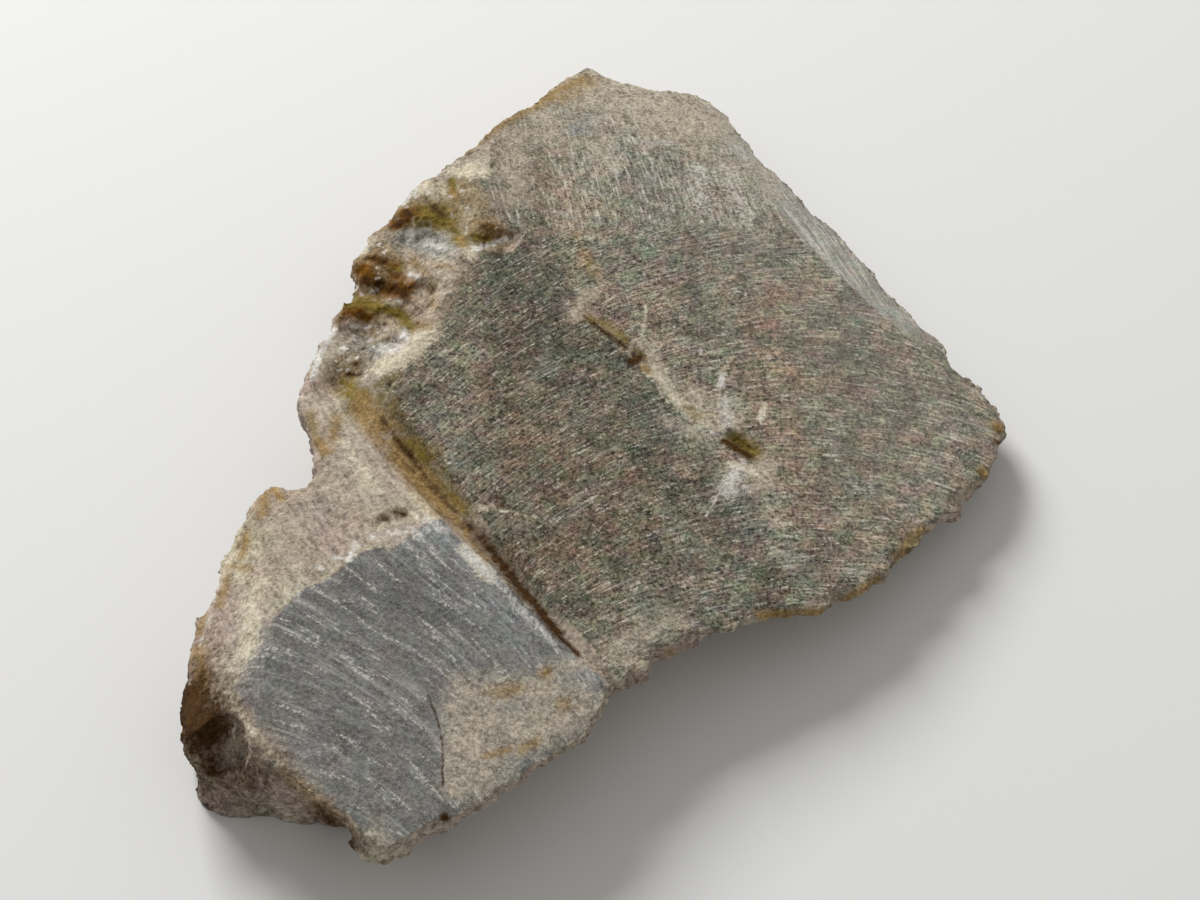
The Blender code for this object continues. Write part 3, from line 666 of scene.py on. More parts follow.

# %% [markdown]
# ## Iron stains and painted shade
#
# Iron leaves four colours, from thin to thick: honey where clear crystal is tinted through,
# ochre as a crust along the rim and the groove, amber in the depth of the pits, and umber in
# the pits and cracks, where dirt has gathered too. Some umber strokes are painted shade: the
# hollow under the left front, the underside below the small face, and a painted shadow at the
# foot of the groove's right wall.

# %% The iron stains and painted shade
IRON_STAINS_AND_SHADE = {
    "honey": (
        (0.6, 0.85, (-15.5, 1.0), (-14.3, -0.6)), (0.5, 0.5, (-13.6, 0.2), (-12.6, 0.8)),
        (0.7, 0.6, (-13.3, -0.6), (-12.3, -2.2)), (0.6, 0.6, (-12.4, -2.4), (-11.8, -3.4)),
        (0.85, 0.85, (-11.5, -4.2), (-10.5, -5.0)), (0.75, 0.7, (-10.6, -5.4), (-9.2, -7.4)),
        (0.6, 0.8, (-9.0, -7.6), (-8.2, -8.6)), (1.05, 1.0, (-11.9, 15.1), (-10.7, 15.0)),
        (0.75, 1.0, (-10.8, 14.4), (-10.1, 13.9)), (0.35, 0.8, (-9.8, 13.6), (-9.2, 12.2)),
        (0.85, 1.0, (-15.6, 7.6), (-14.3, 7.1)), (0.4, 1.0, (-13.5, 6.9), (-12.5, 6.0), (-11.8, 4.8)),
        (0.45, 0.95, (-8.3, 12.3), (-7.6, 12.2)), (0.5, 0.9, (-9.4, 12.2), (-9.0, 11.8)),
        (0.25, 1.0, (-10.0, 18.0), (-9.9, 16.8)), (0.4, 1.0, (-13.2, 10.5), (-12.9, 10.2)),
        (0.45, 0.72, (-1.2, 6.3), (-0.6, 6.1), (0.7, 4.9)), (0.55, 1.0, (7.1, -1.9), (8.1, -2.7)),
        (0.2, 0.7, (1.3, 4.3), (2.0, 3.6)), (0.4, 0.6, (4.4, 0.0), (5.0, -0.5)),
        (0.4, 0.7, (-17.4, -1.0), (-17.0, -2.6)),
    ),
    "ochre": (
        (0.7, 0.92, (-14.6, -0.6), (-12.9, -3.2)), (0.6, 0.92, (-12.3, -4.3), (-11.1, -6.1)),
        (0.7, 0.92, (-10.8, -6.4), (-9.3, -8.5)), (0.45, 0.85, (-9.1, -8.8), (-8.0, -10.2)),
        (0.25, 0.7, (-8.1, -10.4), (-6.9, -11.9)), (0.35, 1.0, (-15.2, 10.8), (-15.0, 10.1)),
        (0.3, 0.9, (-14.6, 6.5)), (0.25, 0.9, (-14.3, 14.3)), (0.25, 0.85, (-9.9, 16.9), (-9.6, 15.9)),
        (0.35, 0.9, (-13.0, 15.6), (-12.5, 15.0)), (0.25, 0.8, (-9.2, 12.3), (-9.0, 11.6)),
        (0.2, 0.8, (-6.9, 12.6)), (0.3, 0.55, (-9.6, 9.6), (-10.8, 10.2)),
        (0.4, 0.6, (-11.3, 5.0), (-10.8, 4.6)), (0.55, 0.8, (-1.8, 28.8), (-3.4, 27.4), (-4.9, 25.6)),
        (0.45, 0.7, (-4.9, 25.6), (-8.0, 22.2), (-9.1, 20.6)), (0.5, 0.7, (-15.8, -1.4), (-16.0, -3.2)),
        (0.35, 0.8, (-20.2, -9.8), (-20.3, -11.2)), (0.4, 0.72, (-21.0, -12.4), (-21.3, -14.0)),
        (0.35, 0.72, (-22.2, -14.2), (-22.3, -15.6)), (0.5, 0.75, (-22.2, -16.6), (-21.7, -19.2)),
        (0.9, 0.62, (-1.5, 28.6), (-3.2, 26.6)), (0.32, 0.85, (8.0, -14.0), (11.4, -13.5)),
        (0.28, 0.8, (12.2, -13.0), (14.8, -10.9)), (0.35, 0.75, (3.0, -16.8)),
        (0.45, 0.85, (-16.7, -3.2), (-16.2, -4.0)), (0.3, 0.8, (-18.9, -6.9), (-18.4, -7.6)),
        (0.4, 0.75, (-19.4, -7.4), (-19.4, -8.6)), (0.35, 0.65, (-21.0, -11.6), (-19.9, -12.2)),
        (0.35, 0.6, (-2.0, 13.2)), (0.5, 0.52, (-1.8, 11.6), (-1.0, 10.0)), (0.4, 0.8, (-3.6, -18.6)),
        (0.45, 0.75, (-2.6, -20.4)), (0.3, 0.75, (-4.8, -23.2), (-4.0, -22.6)),
        (0.25, 0.75, (-6.6, -23.6), (-5.4, -23.2)), (0.5, 0.6, (-6.2, -20.0), (-5.0, -19.6)),
        (0.4, 0.55, (-12.0, 10.8), (-10.9, 9.0), (-10.6, 6.4)), (0.45, 1.0, (22.8, 0.8)),
        (0.45, 0.9, (21.6, -2.8)), (0.45, 0.7, (17.5, -7.3), (16.0, -9.3)),
        (0.25, 0.8, (1.8, 2.9), (2.2, 2.6)), (0.5, 0.7, (-22.4, -16.6), (-22.0, -18.6)),
        (0.5, 0.5, (-13.2, -28.3), (-16.6, -25.3)),
    ),
    "amber": (
        (0.8, 0.66, (-7.6, 13.3), (-7.0, 13.0)), (0.5, 0.7, (-14.8, 11.6), (-13.2, 10.6)),
        (0.45, 0.75, (-13.3, 9.7), (-12.6, 9.3)), (0.6, 1.0, (-15.1, 10.8), (-14.7, 10.0)),
        (0.6, 1.0, (-13.2, 14.5), (-12.6, 15.3)), (0.8, 1.0, (-13.4, 8.5), (-12.4, 8.3)),
        (0.45, 0.9, (-15.9, 6.9), (-15.2, 7.0)), (0.35, 1.0, (-14.9, 6.5), (-14.5, 6.2)),
    ),
    "umber": (
        (0.3, 1.0, (-13.3, 14.3), (-12.8, 14.7)), (0.3, 0.9, (-12.8, 15.6), (-12.5, 15.1)),
        (0.7, 0.7, (-14.8, -27.2), (-13.2, -28.8)), (0.45, 1.0, (-15.0, 9.6), (-13.9, 9.1)),
        (0.4, 1.0, (-13.1, 8.5), (-12.5, 8.1)), (0.4, 1.0, (-12.4, 7.8)),
        (0.3, 0.95, (-14.5, 11.6), (-13.9, 11.1)), (0.2, 0.7, (-15.9, 7.8)),
        (0.25, 0.7, (-13.4, 10.2), (-13.0, 9.8)), (0.26, 0.78, (-14.6, 3.6)), (0.24, 0.78, (-13.2, 4.1)),
        (0.28, 0.8, (-15.4, 1.6), (-14.6, 1.4)), (0.26, 0.78, (-14.9, 2.3)),
        # From (-13.2, -2.4) to (-1.9, -17.4), the strokes along the groove are partly stain and partly a
        # painted shadow at the foot of its right wall.
        (0.3, 0.8, (-11.0, 15.7), (-10.4, 14.7)), (0.22, 0.64, (-13.2, -2.4), (-12.2, -3.8)),
        (0.3, 0.78, (-12.1, -4.0), (-11.0, -5.6)), (0.22, 0.62, (-10.9, -5.8), (-9.8, -7.3)),
        (0.2, 0.62, (-9.6, -7.6), (-8.6, -8.8)), (0.5, 0.85, (-7.9, -9.7), (-6.6, -11.3)),
        (0.48, 0.9, (-6.4, -11.6), (-4.7, -13.9)), (0.3, 1.0, (-4.6, -14.0), (-3.0, -16.2)),
        (0.18, 0.9, (-2.9, -16.4), (-1.9, -17.4)), (0.36, 1.0, (1.1, 3.3), (1.6, 3.6)),
        (0.2, 0.85, (-1.4, 6.1), (-0.4, 5.3), (0.8, 4.3)), (0.24, 1.0, (6.4, -2.1), (7.9, -3.1)),
        (0.2, 0.8, (6.7, -1.2)), (0.18, 0.7, (-4.4, -23.6)), (0.16, 0.7, (-2.2, -19.2)),
        # The strokes on this line and the next are painted shade: the hollow under the left front and
        # the dark underside below the small face.
        (1.9, 1.0, (-22.6, -19.6), (-21.2, -22.0)), (1.6, 0.74, (-21.8, -22.0), (-20.8, -24.6)),
        (2.2, 0.66, (-20.8, -25.0), (-18.6, -25.4)), (0.3, 0.9, (-8.6, -27.2)),
        (0.42, 0.8, (-12.6, -9.1)), (0.4, 0.8, (-12.0, -8.7), (-11.6, -8.9)),
        (0.35, 0.7, (-7.2, 10.9), (-6.6, 11.2)), (0.28, 0.7, (-6.5, -7.4), (-6.1, -8.0)),
        (0.3, 0.8, (22.6, -0.4)), (0.25, 0.7, (3.6, -17.0)),
    ),
}

note_strokes(slab, x, y, IRON_STAINS_AND_SHADE)

# %% [markdown]
# ## Note which face each point belongs to
#
# The faces were ground one after another, so the scratches run another way on each. The small
# face is what lies left of the groove. The far facet begins along a line across the slab, which
# is sharp on the right and slow on the left, where the two planes hardly differ. The bevel is
# where its plane lies under the others. One more mark is for the darker body between the groove
# and the crack, and one tells how much a point faces up.

# %% The faces' marks
FAR_EDGE = ((-8.0, 13.0), (0.0, 14.0), (4.0, 14.9), (14.0, 15.0))
FAR_BLEND_ENDS = (1.0, 6.0)
FAR_BLEND = (5.0, 2.0)
BEVEL_BLEND = 0.3
NEAR_BODY_EDGE = (
    (-4.0, 15.5), (-3.4, 12.6), (-2.7, 10.0), (-2.9, 7.4), (-1.7, 6.4), (-0.5, 5.2), (0.9, 3.8),
    (2.2, 2.3), (3.5, 0.2), (5.0, -1.1), (6.3, -1.9), (6.2, -4.0), (7.0, -8.0), (10.0, -12.0),
    (11.0, -20.0),
)
NEAR_BODY_BLEND = 3.0

left = left_of_groove(x, y).astype(float)
far_edge = np.interp(x, [place[0] for place in FAR_EDGE], [place[1] for place in FAR_EDGE])
far_blend = np.interp(x, FAR_BLEND_ENDS, FAR_BLEND)
keep_marks(slab, "small_face", left)
keep_marks(slab, "far_facet", np.clip(0.5 + (y - far_edge) / far_blend, 0.0, 1.0) * (1.0 - left))
bevel_gap = lowest((BROAD_FACE, FAR_FACE), x, y) - height_on(EDGE_BEVEL, x, y)
bevel_share = (1.0 - left) * np.clip((y - 5.0) / 5.0, 0.0, 1.0)
keep_marks(slab, "bevel", np.clip(0.5 + bevel_gap / BEVEL_BLEND, 0.0, 1.0) * bevel_share)
side = np.sign(line_at(NEAR_BODY_EDGE, y) - x)
gap = side * distance_to_line(x, y, NEAR_BODY_EDGE)
keep_marks(slab, "near_body", np.clip(0.5 + gap / NEAR_BODY_BLEND, 0.0, 1.0))
keep_marks(slab, "broken_skin", np.clip(blend_over_neighbours(broken, edges, 1), 0.0, 1.0))
facing = blend_over_neighbours(get_normals(slab)[:, 2], edges, 3)
keep_marks(slab, "facing_up", np.clip(facing, 0.0, 1.0))
print("bevel:", int((bevel_gap * bevel_share > 0.0).sum()), "points")

# %% [markdown]
# ## Little helpers for node trees
#
# A material is a graph, and the same few moves come again and again: add a node, set or link its
# inputs, do a sum, mix two colours. It could all be wired by hand in the shader editor. Short
# helpers keep each effect readable. They link an input when they are given a socket, and set it
# when they are given a value.

# %% Node helpers


def add_node(tree, kind, inputs, **settings):
    """Add a node, give it its settings, and link or set its inputs."""
    node = tree.nodes.new(kind)
    for name, value in settings.items():
        setattr(node, name, value)
    for key, value in inputs.items():
        if isinstance(value, bpy.types.NodeSocket):
            tree.links.new(value, node.inputs[key])
        else:
            node.inputs[key].default_value = value
    return node


def calculate(tree, operation, *values):
    """The result of a Math node."""
    node = add_node(tree, "ShaderNodeMath", dict(enumerate(values)), operation=operation)
    return node.outputs[0]


def combine(tree, operation, first, second):
    """The result of a Vector Math node on two vectors."""
    node = add_node(tree, "ShaderNodeVectorMath", {0: first, 1: second}, operation=operation)
    return node.outputs["Value" if operation in ("DOT_PRODUCT", "DISTANCE") else "Vector"]


def stretch(tree, vector, scale):
    """A vector made longer or shorter."""
    inputs = {0: vector, "Scale": scale}
    return add_node(tree, "ShaderNodeVectorMath", inputs, operation="SCALE").outputs["Vector"]


def remap(tree, value, low, high, to_low=0.0, to_high=1.0):
    """The value stretched from low..high to to_low..to_high, and held inside."""
    inputs = {
        "Value": value, "From Min": low, "From Max": high, "To Min": to_low, "To Max": to_high,
    }
    return add_node(tree, "ShaderNodeMapRange", inputs).outputs["Result"]


def mix_colours(tree, share, first, second, blend="MIX"):
    """The first colour, with a share of the second in its place or multiplied into it."""
    inputs = {0: share, 6: first, 7: second}
    return add_node(tree, "ShaderNodeMix", inputs, data_type="RGBA", blend_type=blend).outputs[2]


print("helpers:", ", ".join(made.__name__ for made in (add_node, calculate, combine, stretch)))

# %% [markdown]
# ## Noise and groups
#
# Nearly every effect starts from a noise, and each effect that is used more than once is a node
# group: a small tree with named inputs and outputs, which is built once and placed with its own
# values wherever it is needed. The alternative is to copy its nodes each time, but then a
# change has to be made in every copy.

# %% Noise and group helpers


def noise_value(tree, vector, scale, detail=2.0, roughness=0.55):
    """A noise, mostly between 0.3 and 0.7."""
    inputs = {"Vector": vector, "Scale": scale, "Detail": detail, "Roughness": roughness}
    return add_node(tree, "ShaderNodeTexNoise", inputs).outputs["Fac"]


def colour(red, green, blue):
    """A colour with full opacity."""
    return (red, green, blue, 1.0)


def new_group(name, inputs, outputs):
    """A shader node group with named inputs (with their defaults) and outputs."""
    tree = bpy.data.node_groups.new(name, "ShaderNodeTree")
    for label, default in inputs:
        kind = "NodeSocketVector" if default is None else "NodeSocketFloat"
        socket = tree.interface.new_socket(label, in_out="INPUT", socket_type=kind)
        if default is not None:
            socket.default_value = default
    for label in outputs:
        kind = "NodeSocketColor" if label == "Tint" else "NodeSocketFloat"
        tree.interface.new_socket(label, in_out="OUTPUT", socket_type=kind)
    entry = tree.nodes.new("NodeGroupInput")
    leave = tree.nodes.new("NodeGroupOutput")
    return tree, entry.outputs, leave.inputs


def use_group(tree, group, inputs):
    """Place a group in a tree, with its inputs set, and give its outputs."""
    return add_node(tree, "ShaderNodeGroup", inputs, node_tree=group).outputs


print("helpers:", ", ".join(made.__name__ for made in (noise_value, colour, new_group, use_group)))

# %% [markdown]
# ## The lap's scratches
#
# Loose grit drags shallow scratches over a face as it turns on the lap, so they lie side by
# side in gentle arcs. A wave texture would look too regular. A noise that is squeezed across
# the scratch and stretched along it gives lines of every strength. The arcs come from measuring
# across the level lines of y - slope * x + bend * x * x instead of straight along an axis.
#
# The group gives three kinds: fine lines, few deep ones, and short fibres, which crowd together
# and make the silky ground between the lines.

# %% A group for the scratches
WANDER_SCALE = 0.12
WANDER = 0.8
KINDS_OF_LINE = (
    # output, times wider, times longer, and the part of the noise that shows
    ("Lines", 1.0, 1.0, 0.46, 0.66),
    ("Deep Lines", 1.4, 3.0, 0.58, 0.70),
    ("Fibres", 1.5, 0.45, 0.34, 0.66),
)

scratches, given, out = new_group(
    "lapping_scratches",
    (
        ("Vector", None), ("Slope", 0.0), ("Bend", 0.0), ("Line Width", 0.08),
        ("Line Length", 1.5), ("Seed", 0.0),
    ),
    ("Lines", "Deep Lines", "Fibres"),
)
axes = add_node(scratches, "ShaderNodeSeparateXYZ", {0: given["Vector"]}).outputs
slope = given["Slope"]
unit = calculate(scratches, "MULTIPLY_ADD", slope, slope, 1.0)
unit = calculate(scratches, "INVERSE_SQRT", unit)
across = calculate(scratches, "MULTIPLY", slope, axes["X"])
across = calculate(scratches, "SUBTRACT", axes["Y"], across)
curve = calculate(scratches, "MULTIPLY", axes["X"], axes["X"])
across = calculate(scratches, "MULTIPLY_ADD", curve, given["Bend"], across)
across = calculate(scratches, "MULTIPLY", across, unit)
along = calculate(scratches, "MULTIPLY_ADD", slope, axes["Y"], axes["X"])
along = calculate(scratches, "MULTIPLY", along, unit)
wander = noise_value(scratches, given["Vector"], WANDER_SCALE, 0.0)
across = calculate(scratches, "MULTIPLY_ADD", wander, WANDER, across)
for label, wider, longer, low, high in KINDS_OF_LINE:
    width = calculate(scratches, "MULTIPLY", given["Line Width"], wider)
    length = calculate(scratches, "MULTIPLY", given["Line Length"], longer)
    step = calculate(scratches, "DIVIDE", across, width)
    run = calculate(scratches, "DIVIDE", along, length)
    inputs = {"X": step, "Y": run, "Z": given["Seed"]}
    place = add_node(scratches, "ShaderNodeCombineXYZ", inputs).outputs[0]
    streaks = noise_value(scratches, place, 0.5, 3.0, 0.6)
    scratches.links.new(remap(scratches, streaks, low, high), out[label])
print("group:", scratches.name, "with", len(scratches.nodes), "nodes")

# %% [markdown]
# ## The stone's grain
#
# Crushed grains on the ground faces make a strong speckle, a fifth of a millimetre across, and
# clouds of a pinker or greener body lie under it. Both are noises, at two far apart sizes. A
# third noise, a colour one, gives each cluster of grains a slight tint of its own, because
# minerals side by side are never the same grey.

# %% A group for the grain
CONTRAST_REACH = 0.14
TINT_COARSER = 0.20
TINT_SWING = (0.6, 1.4, 0.8)

grain, given, out = new_group(
    "stone_grain",
    (
        ("Vector", None), ("Grain Size", 0.12), ("Cloud Size", 0.8), ("Contrast", 1.0),
        ("Colourfulness", 0.3),
    ),
    ("Speckle", "Cloud", "Tint"),
)
fine = calculate(grain, "DIVIDE", 1.0, given["Grain Size"])
coarse = calculate(grain, "DIVIDE", 1.0, given["Cloud Size"])
half = calculate(grain, "DIVIDE", CONTRAST_REACH, given["Contrast"])
low = calculate(grain, "SUBTRACT", 0.5, half)
high = calculate(grain, "ADD", 0.5, half)
speckle = noise_value(grain, given["Vector"], fine, 2.0, 0.9)
cloud = noise_value(grain, given["Vector"], coarse, 3.0, 0.6)
inputs = {
    "Vector": given["Vector"], "Scale": calculate(grain, "MULTIPLY", fine, TINT_COARSER),
    "Detail": 2.0, "Roughness": 0.5,
}
hues = add_node(grain, "ShaderNodeTexNoise", inputs).outputs["Color"]
centred = combine(grain, "SUBTRACT", hues, (0.5, 0.5, 0.5))
greener = combine(grain, "MULTIPLY", centred, TINT_SWING)
spread = stretch(grain, greener, given["Colourfulness"])
grain.links.new(remap(grain, speckle, low, high), out["Speckle"])
grain.links.new(remap(grain, cloud, 0.35, 0.65), out["Cloud"])
grain.links.new(combine(grain, "ADD", spread, (1.0, 1.0, 1.0)), out["Tint"])
print("group:", grain.name, "with", len(grain.nodes), "nodes")

# %% [markdown]
# ## Crystal faces
#
# A fresh break shows many small crystal faces. Each has one tone, and here and there one faces
# the light and flashes white. Real facets in the mesh would need millions of triangles at this
# size. Cells of even colour, in two sizes, stand for them.

# %% A group for the crystal faces
SMALLER_FACES = 2.3

crystals, given, out = new_group(
    "crystal_faces",
    (("Vector", None), ("Face Size", 0.5), ("Flashes", 0.1)),
    ("Tone", "Flash"),
)
dense = calculate(crystals, "DIVIDE", 1.0, given["Face Size"])
tones = []
for finer in (1.0, SMALLER_FACES):
    inputs = {"Vector": given["Vector"], "Scale": calculate(crystals, "MULTIPLY", dense, finer)}
    cell = add_node(crystals, "ShaderNodeTexVoronoi", inputs, feature="F1").outputs["Color"]
    tones.append(add_node(crystals, "ShaderNodeSeparateColor", {0: cell}).outputs)
tone = calculate(crystals, "MULTIPLY", tones[0][0], 0.5)
tone = calculate(crystals, "MULTIPLY_ADD", tones[1][0], 0.5, tone)
edge = calculate(crystals, "SUBTRACT", 1.0, given["Flashes"])
flash = remap(crystals, tones[1][1], edge, calculate(crystals, "ADD", edge, 0.02))
crystals.links.new(tone, out["Tone"])
crystals.links.new(flash, out["Flash"])
print("group:", crystals.name, "with", len(crystals.nodes), "nodes")

# %% [markdown]
# ## Ragged edges for the strokes
#
# A stain ends along the grains it has soaked, never along a clean curve. Strokes with more
# points could follow such an edge, but the mesh is too coarse to hold it. The group shakes a
# mark with a noise instead, and then keeps what is over one half.

# %% A group for the ragged edges
ragged, given, out = new_group(
    "ragged_edge",
    (
        ("Vector", None), ("Mark", 0.0), ("Ruggedness", 0.6), ("Grain Size", 0.5),
        ("Softness", 0.12), ("Seed", 0.0),
    ),
    ("Mask",),
)
moved = combine(ragged, "ADD", given["Vector"], given["Seed"])
shake = noise_value(ragged, moved, calculate(ragged, "DIVIDE", 1.0, given["Grain Size"]), 3.0, 0.65)
shake = calculate(ragged, "SUBTRACT", shake, 0.5)
shaken = calculate(ragged, "MULTIPLY_ADD", shake, given["Ruggedness"], given["Mark"])
low = calculate(ragged, "SUBTRACT", 0.5, given["Softness"])
high = calculate(ragged, "ADD", 0.5, given["Softness"])
ragged.links.new(remap(ragged, shaken, low, high), out["Mask"])
print("group:", ragged.name, "with", len(ragged.nodes), "nodes")

# %% [markdown]
# ## Thin veins and cracks
#
# Some healed cracks and single deep scratches are only a tenth of a millimetre wide, finer than
# the mesh, so a mark on its points can't hold them. This group measures the distance to a
# straight piece of vein for every spot instead, from the piece's two ends. Pieces are chained
# by "Before", which takes the mark of the piece before.

# %% A group for one piece of a vein
vein, given, out = new_group(
    "vein_piece",
    (("Vector", None), ("Start", None), ("End", None), ("Half Width", 0.1), ("Before", 0.0)),
    ("Mark",),
)
spot = combine(vein, "MULTIPLY", given["Vector"], (1.0, 1.0, 0.0))
spot = combine(vein, "SUBTRACT", spot, given["Start"])
reach = combine(vein, "SUBTRACT", given["End"], given["Start"])
run = combine(vein, "DOT_PRODUCT", spot, reach)
length = combine(vein, "DOT_PRODUCT", reach, reach)
part = remap(vein, calculate(vein, "DIVIDE", run, length), 0.0, 1.0)
gap = combine(vein, "DISTANCE", spot, stretch(vein, reach, part))
fall = calculate(vein, "DIVIDE", gap, given["Half Width"])
fall = calculate(vein, "MULTIPLY_ADD", fall, -0.5, 1.0)
vein.links.new(calculate(vein, "MAXIMUM", fall, given["Before"]), out["Mark"])
print("group:", vein.name, "with", len(vein.nodes), "nodes")

# %% [markdown]
# ## The stone's material
#
# Every face mixes a dark and a light colour by its speckle and scratches, and the patches and
# stains then cover it one by one, palest first, so that iron lies on top as it does on the
# stone. All patterns are laid out by the object's own coordinates in millimetres, so they stay
# on the stone wherever it goes and need no unwrapping.

# %% Start the material: places, marks and grain
material = bpy.data.materials.new("herderite_dressed")
material.use_nodes = True
tree = material.node_tree
shader = tree.nodes["Principled BSDF"]

where = add_node(tree, "ShaderNodeTexCoord", {}).outputs["Object"]
where = combine(tree, "ADD", stretch(tree, where, 1.0 / MM), (*DRAWING_SHIFT, 0.0))


def mark(name):
    """The value that was stored on the mesh under a name."""
    return add_node(tree, "ShaderNodeAttribute", {}, attribute_name=name).outputs["Fac"]


def inverse(value):
    """One minus a value."""
    return calculate(tree, "SUBTRACT", 1.0, value)


def weighted(*parts, start=0.0):
    """A sum of values, each times its share."""
    total = start
    for value, share in parts:
        total = calculate(tree, "MULTIPLY_ADD", value, share, total)
    return total


def ragged_mask(value, ruggedness, grain_size, softness, seed):
    """A mark with a ragged edge."""
    inputs = {
        "Vector": where, "Mark": value, "Ruggedness": ruggedness, "Grain Size": grain_size,
        "Softness": softness, "Seed": seed,
    }
    return use_group(tree, ragged, inputs)["Mask"]


inputs = {"Grain Size": 0.21, "Cloud Size": 1.3, "Contrast": 1.25, "Colourfulness": 0.36}
fine_grain = use_group(tree, grain, {"Vector": where, **inputs})
inputs = {"Grain Size": 0.9, "Cloud Size": 2.2, "Contrast": 0.8, "Colourfulness": 0.28}
rough_grain = use_group(tree, grain, {"Vector": where, **inputs})
facets = use_group(tree, crystals, {"Vector": where, "Face Size": 0.55, "Flashes": 0.07})
speckle = fine_grain["Speckle"]
print("material:", material.name, "with", len(tree.nodes), "nodes so far")

# %% [markdown]
# ## The four ground faces
#
# The broad face is brown and green-grey, the small face cooler, and the far facet and the bevel
# paler, partly in their own colour and partly as a painted sheen from a light behind them. The
# scratches run another way on each. They could be four materials, but their borders would then
# be hard lines along the mesh. In one material the colours blend over a short way, while the
# scratches change over sharply. A coarse, patchy noise darkens and brightens whole areas, and
# "bundles" gathers the scratches, since grit drags in swarms.

# %% The ground faces' colours
FACES = (
    # mark, slope, bend, line width, line length,
    # shares of the patchiness, the speckle, the fibres and the lines, dark colour, light colour
    (None, 0.70, 0.025, 0.075, 0.70,
     1.0, 0.54, 0.26, 0.45, (0.010, 0.009, 0.007), (0.452, 0.402, 0.318)),
    # The far facet's and the bevel's light colours are partly a painted sheen from a light behind them.
    ("far_facet", -4.7, 0.0, 0.08, 0.90,
     0.8, 0.46, 0.26, 0.42, (0.045, 0.039, 0.026), (0.540, 0.500, 0.415)),
    ("bevel", -2.3, 0.0, 0.09, 1.80,
     0.5, 0.34, 0.24, 0.50, (0.150, 0.140, 0.122), (0.640, 0.610, 0.555)),
    ("small_face", -1.78, 0.042, 0.09, 1.10,
     0.35, 0.35, 0.28, 0.34, (0.080, 0.077, 0.073), (0.374, 0.366, 0.350)),
)
SOFT_JOIN = (0.3, 0.7)
SHARP_JOIN = (0.47, 0.53)

patchy = noise_value(tree, where, scale=0.55, detail=4.0, roughness=0.8)
patchy = remap(tree, patchy, 0.33, 0.67, to_low=0.58, to_high=1.42)
bundles = noise_value(tree, where, scale=1.1, detail=2.0, roughness=0.6)
bundles = remap(tree, bundles, 0.38, 0.60, to_low=0.25, to_high=1.0)
body = None
lines = None
deep = None
for number, (name, slope, bend, width, length, *shares, dark, light) in enumerate(FACES):
    patches_share, speckle_share, fibres_share, lines_share = shares
    inputs = {
        "Vector": where, "Slope": slope, "Bend": bend, "Line Width": width,
        "Line Length": length, "Seed": 3.7 * number,
    }
    drawn = use_group(tree, scratches, inputs)
    streaks = calculate(tree, "MULTIPLY", drawn["Lines"], bundles)
    fibres = (drawn["Fibres"], fibres_share)
    tone = weighted((speckle, speckle_share), fibres, (streaks, lines_share))
    uneven = weighted((patchy, patches_share), start=1.0 - patches_share)
    tone = calculate(tree, "MULTIPLY", tone, uneven)
    face = mix_colours(tree, tone, colour(*dark), colour(*light))
    if name is None:
        body, lines, deep = face, drawn["Lines"], drawn["Deep Lines"]
        continue
    body = mix_colours(tree, remap(tree, mark(name), *SOFT_JOIN), body, face)
    sharp = remap(tree, mark(name), *SHARP_JOIN)
    lines = mix_colours(tree, sharp, lines, drawn["Lines"])
    deep = mix_colours(tree, sharp, deep, drawn["Deep Lines"])
print("ground faces:", len(FACES))

# %% [markdown]
# ## Clouds and tints under the scratches
#
# The body between the groove and the crack is darker, pinker and greener clouds drift through
# it, and the strokes noted before shade, brighten or redden it. Laying new colours over it
# would hide the scratches, so each only multiplies the body by a tint. The small face, the far
# facet and the bevel are greyer than the broad face and take less of the colour.

# %% Tint the ground faces
DUSK = (0.66, 0.66, 0.64)
GREEN_CLOUD = (0.90, 1.02, 0.96)
PINK_CLOUD = (1.13, 0.96, 0.90)
LESS_COLOUR = (("small_face", -0.6), ("far_facet", -0.4), ("bevel", -0.3))
TINTS = (("shade", (0.80, 0.85, 0.88)), ("pale", (1.20, 1.28, 1.34)), ("blush", (1.15, 1.01, 0.95)))
EVEN_BODY = (0.215, 0.200, 0.170)
EVEN_SHARE = 0.30

dusk = mark("near_body")
dusk = ragged_mask(dusk, ruggedness=0.5, grain_size=1.0, softness=0.14, seed=2.0)
dusk = calculate(tree, "MULTIPLY", dusk, inverse(remap(tree, mark("small_face"), *SOFT_JOIN)))
body = mix_colours(tree, dusk, body, colour(*DUSK), "MULTIPLY")
hued = weighted(*((mark(name), change) for name, change in LESS_COLOUR), start=1.0)
clouds = mix_colours(tree, fine_grain["Cloud"], colour(*GREEN_CLOUD), colour(*PINK_CLOUD))
body = mix_colours(tree, hued, body, clouds, "MULTIPLY")
body = mix_colours(tree, hued, body, fine_grain["Tint"], "MULTIPLY")
for number, (name, tint) in enumerate(TINTS):
    seed = 71.0 + 7.0 * number
    cast = ragged_mask(mark(name), ruggedness=0.8, grain_size=1.2, softness=0.30, seed=seed)
    body = mix_colours(tree, cast, body, colour(*tint), "MULTIPLY")
share = calculate(tree, "MULTIPLY", mark("even"), EVEN_SHARE)
body = mix_colours(tree, share, body, colour(*EVEN_BODY))
print("tints:", ", ".join(name for name, _ in TINTS))

# %% [markdown]
# ## Pale scratches and painted glints
#
# Crushed stone in the deep scratches is pale, and where a fine line crosses a pale grain a
# bright spark is painted into the colour, a painted glint. A glossier shader could make such
# sparks from the light; painted, they show from every side.

# %% Pale scratches and painted glints
CRUSHED_STONE = (0.46, 0.44, 0.40)
CRUSHED_SHARE = 0.40
PAINTED_GLINT = (0.56, 0.53, 0.47)
PAINTED_GLINT_SHARE = 0.85

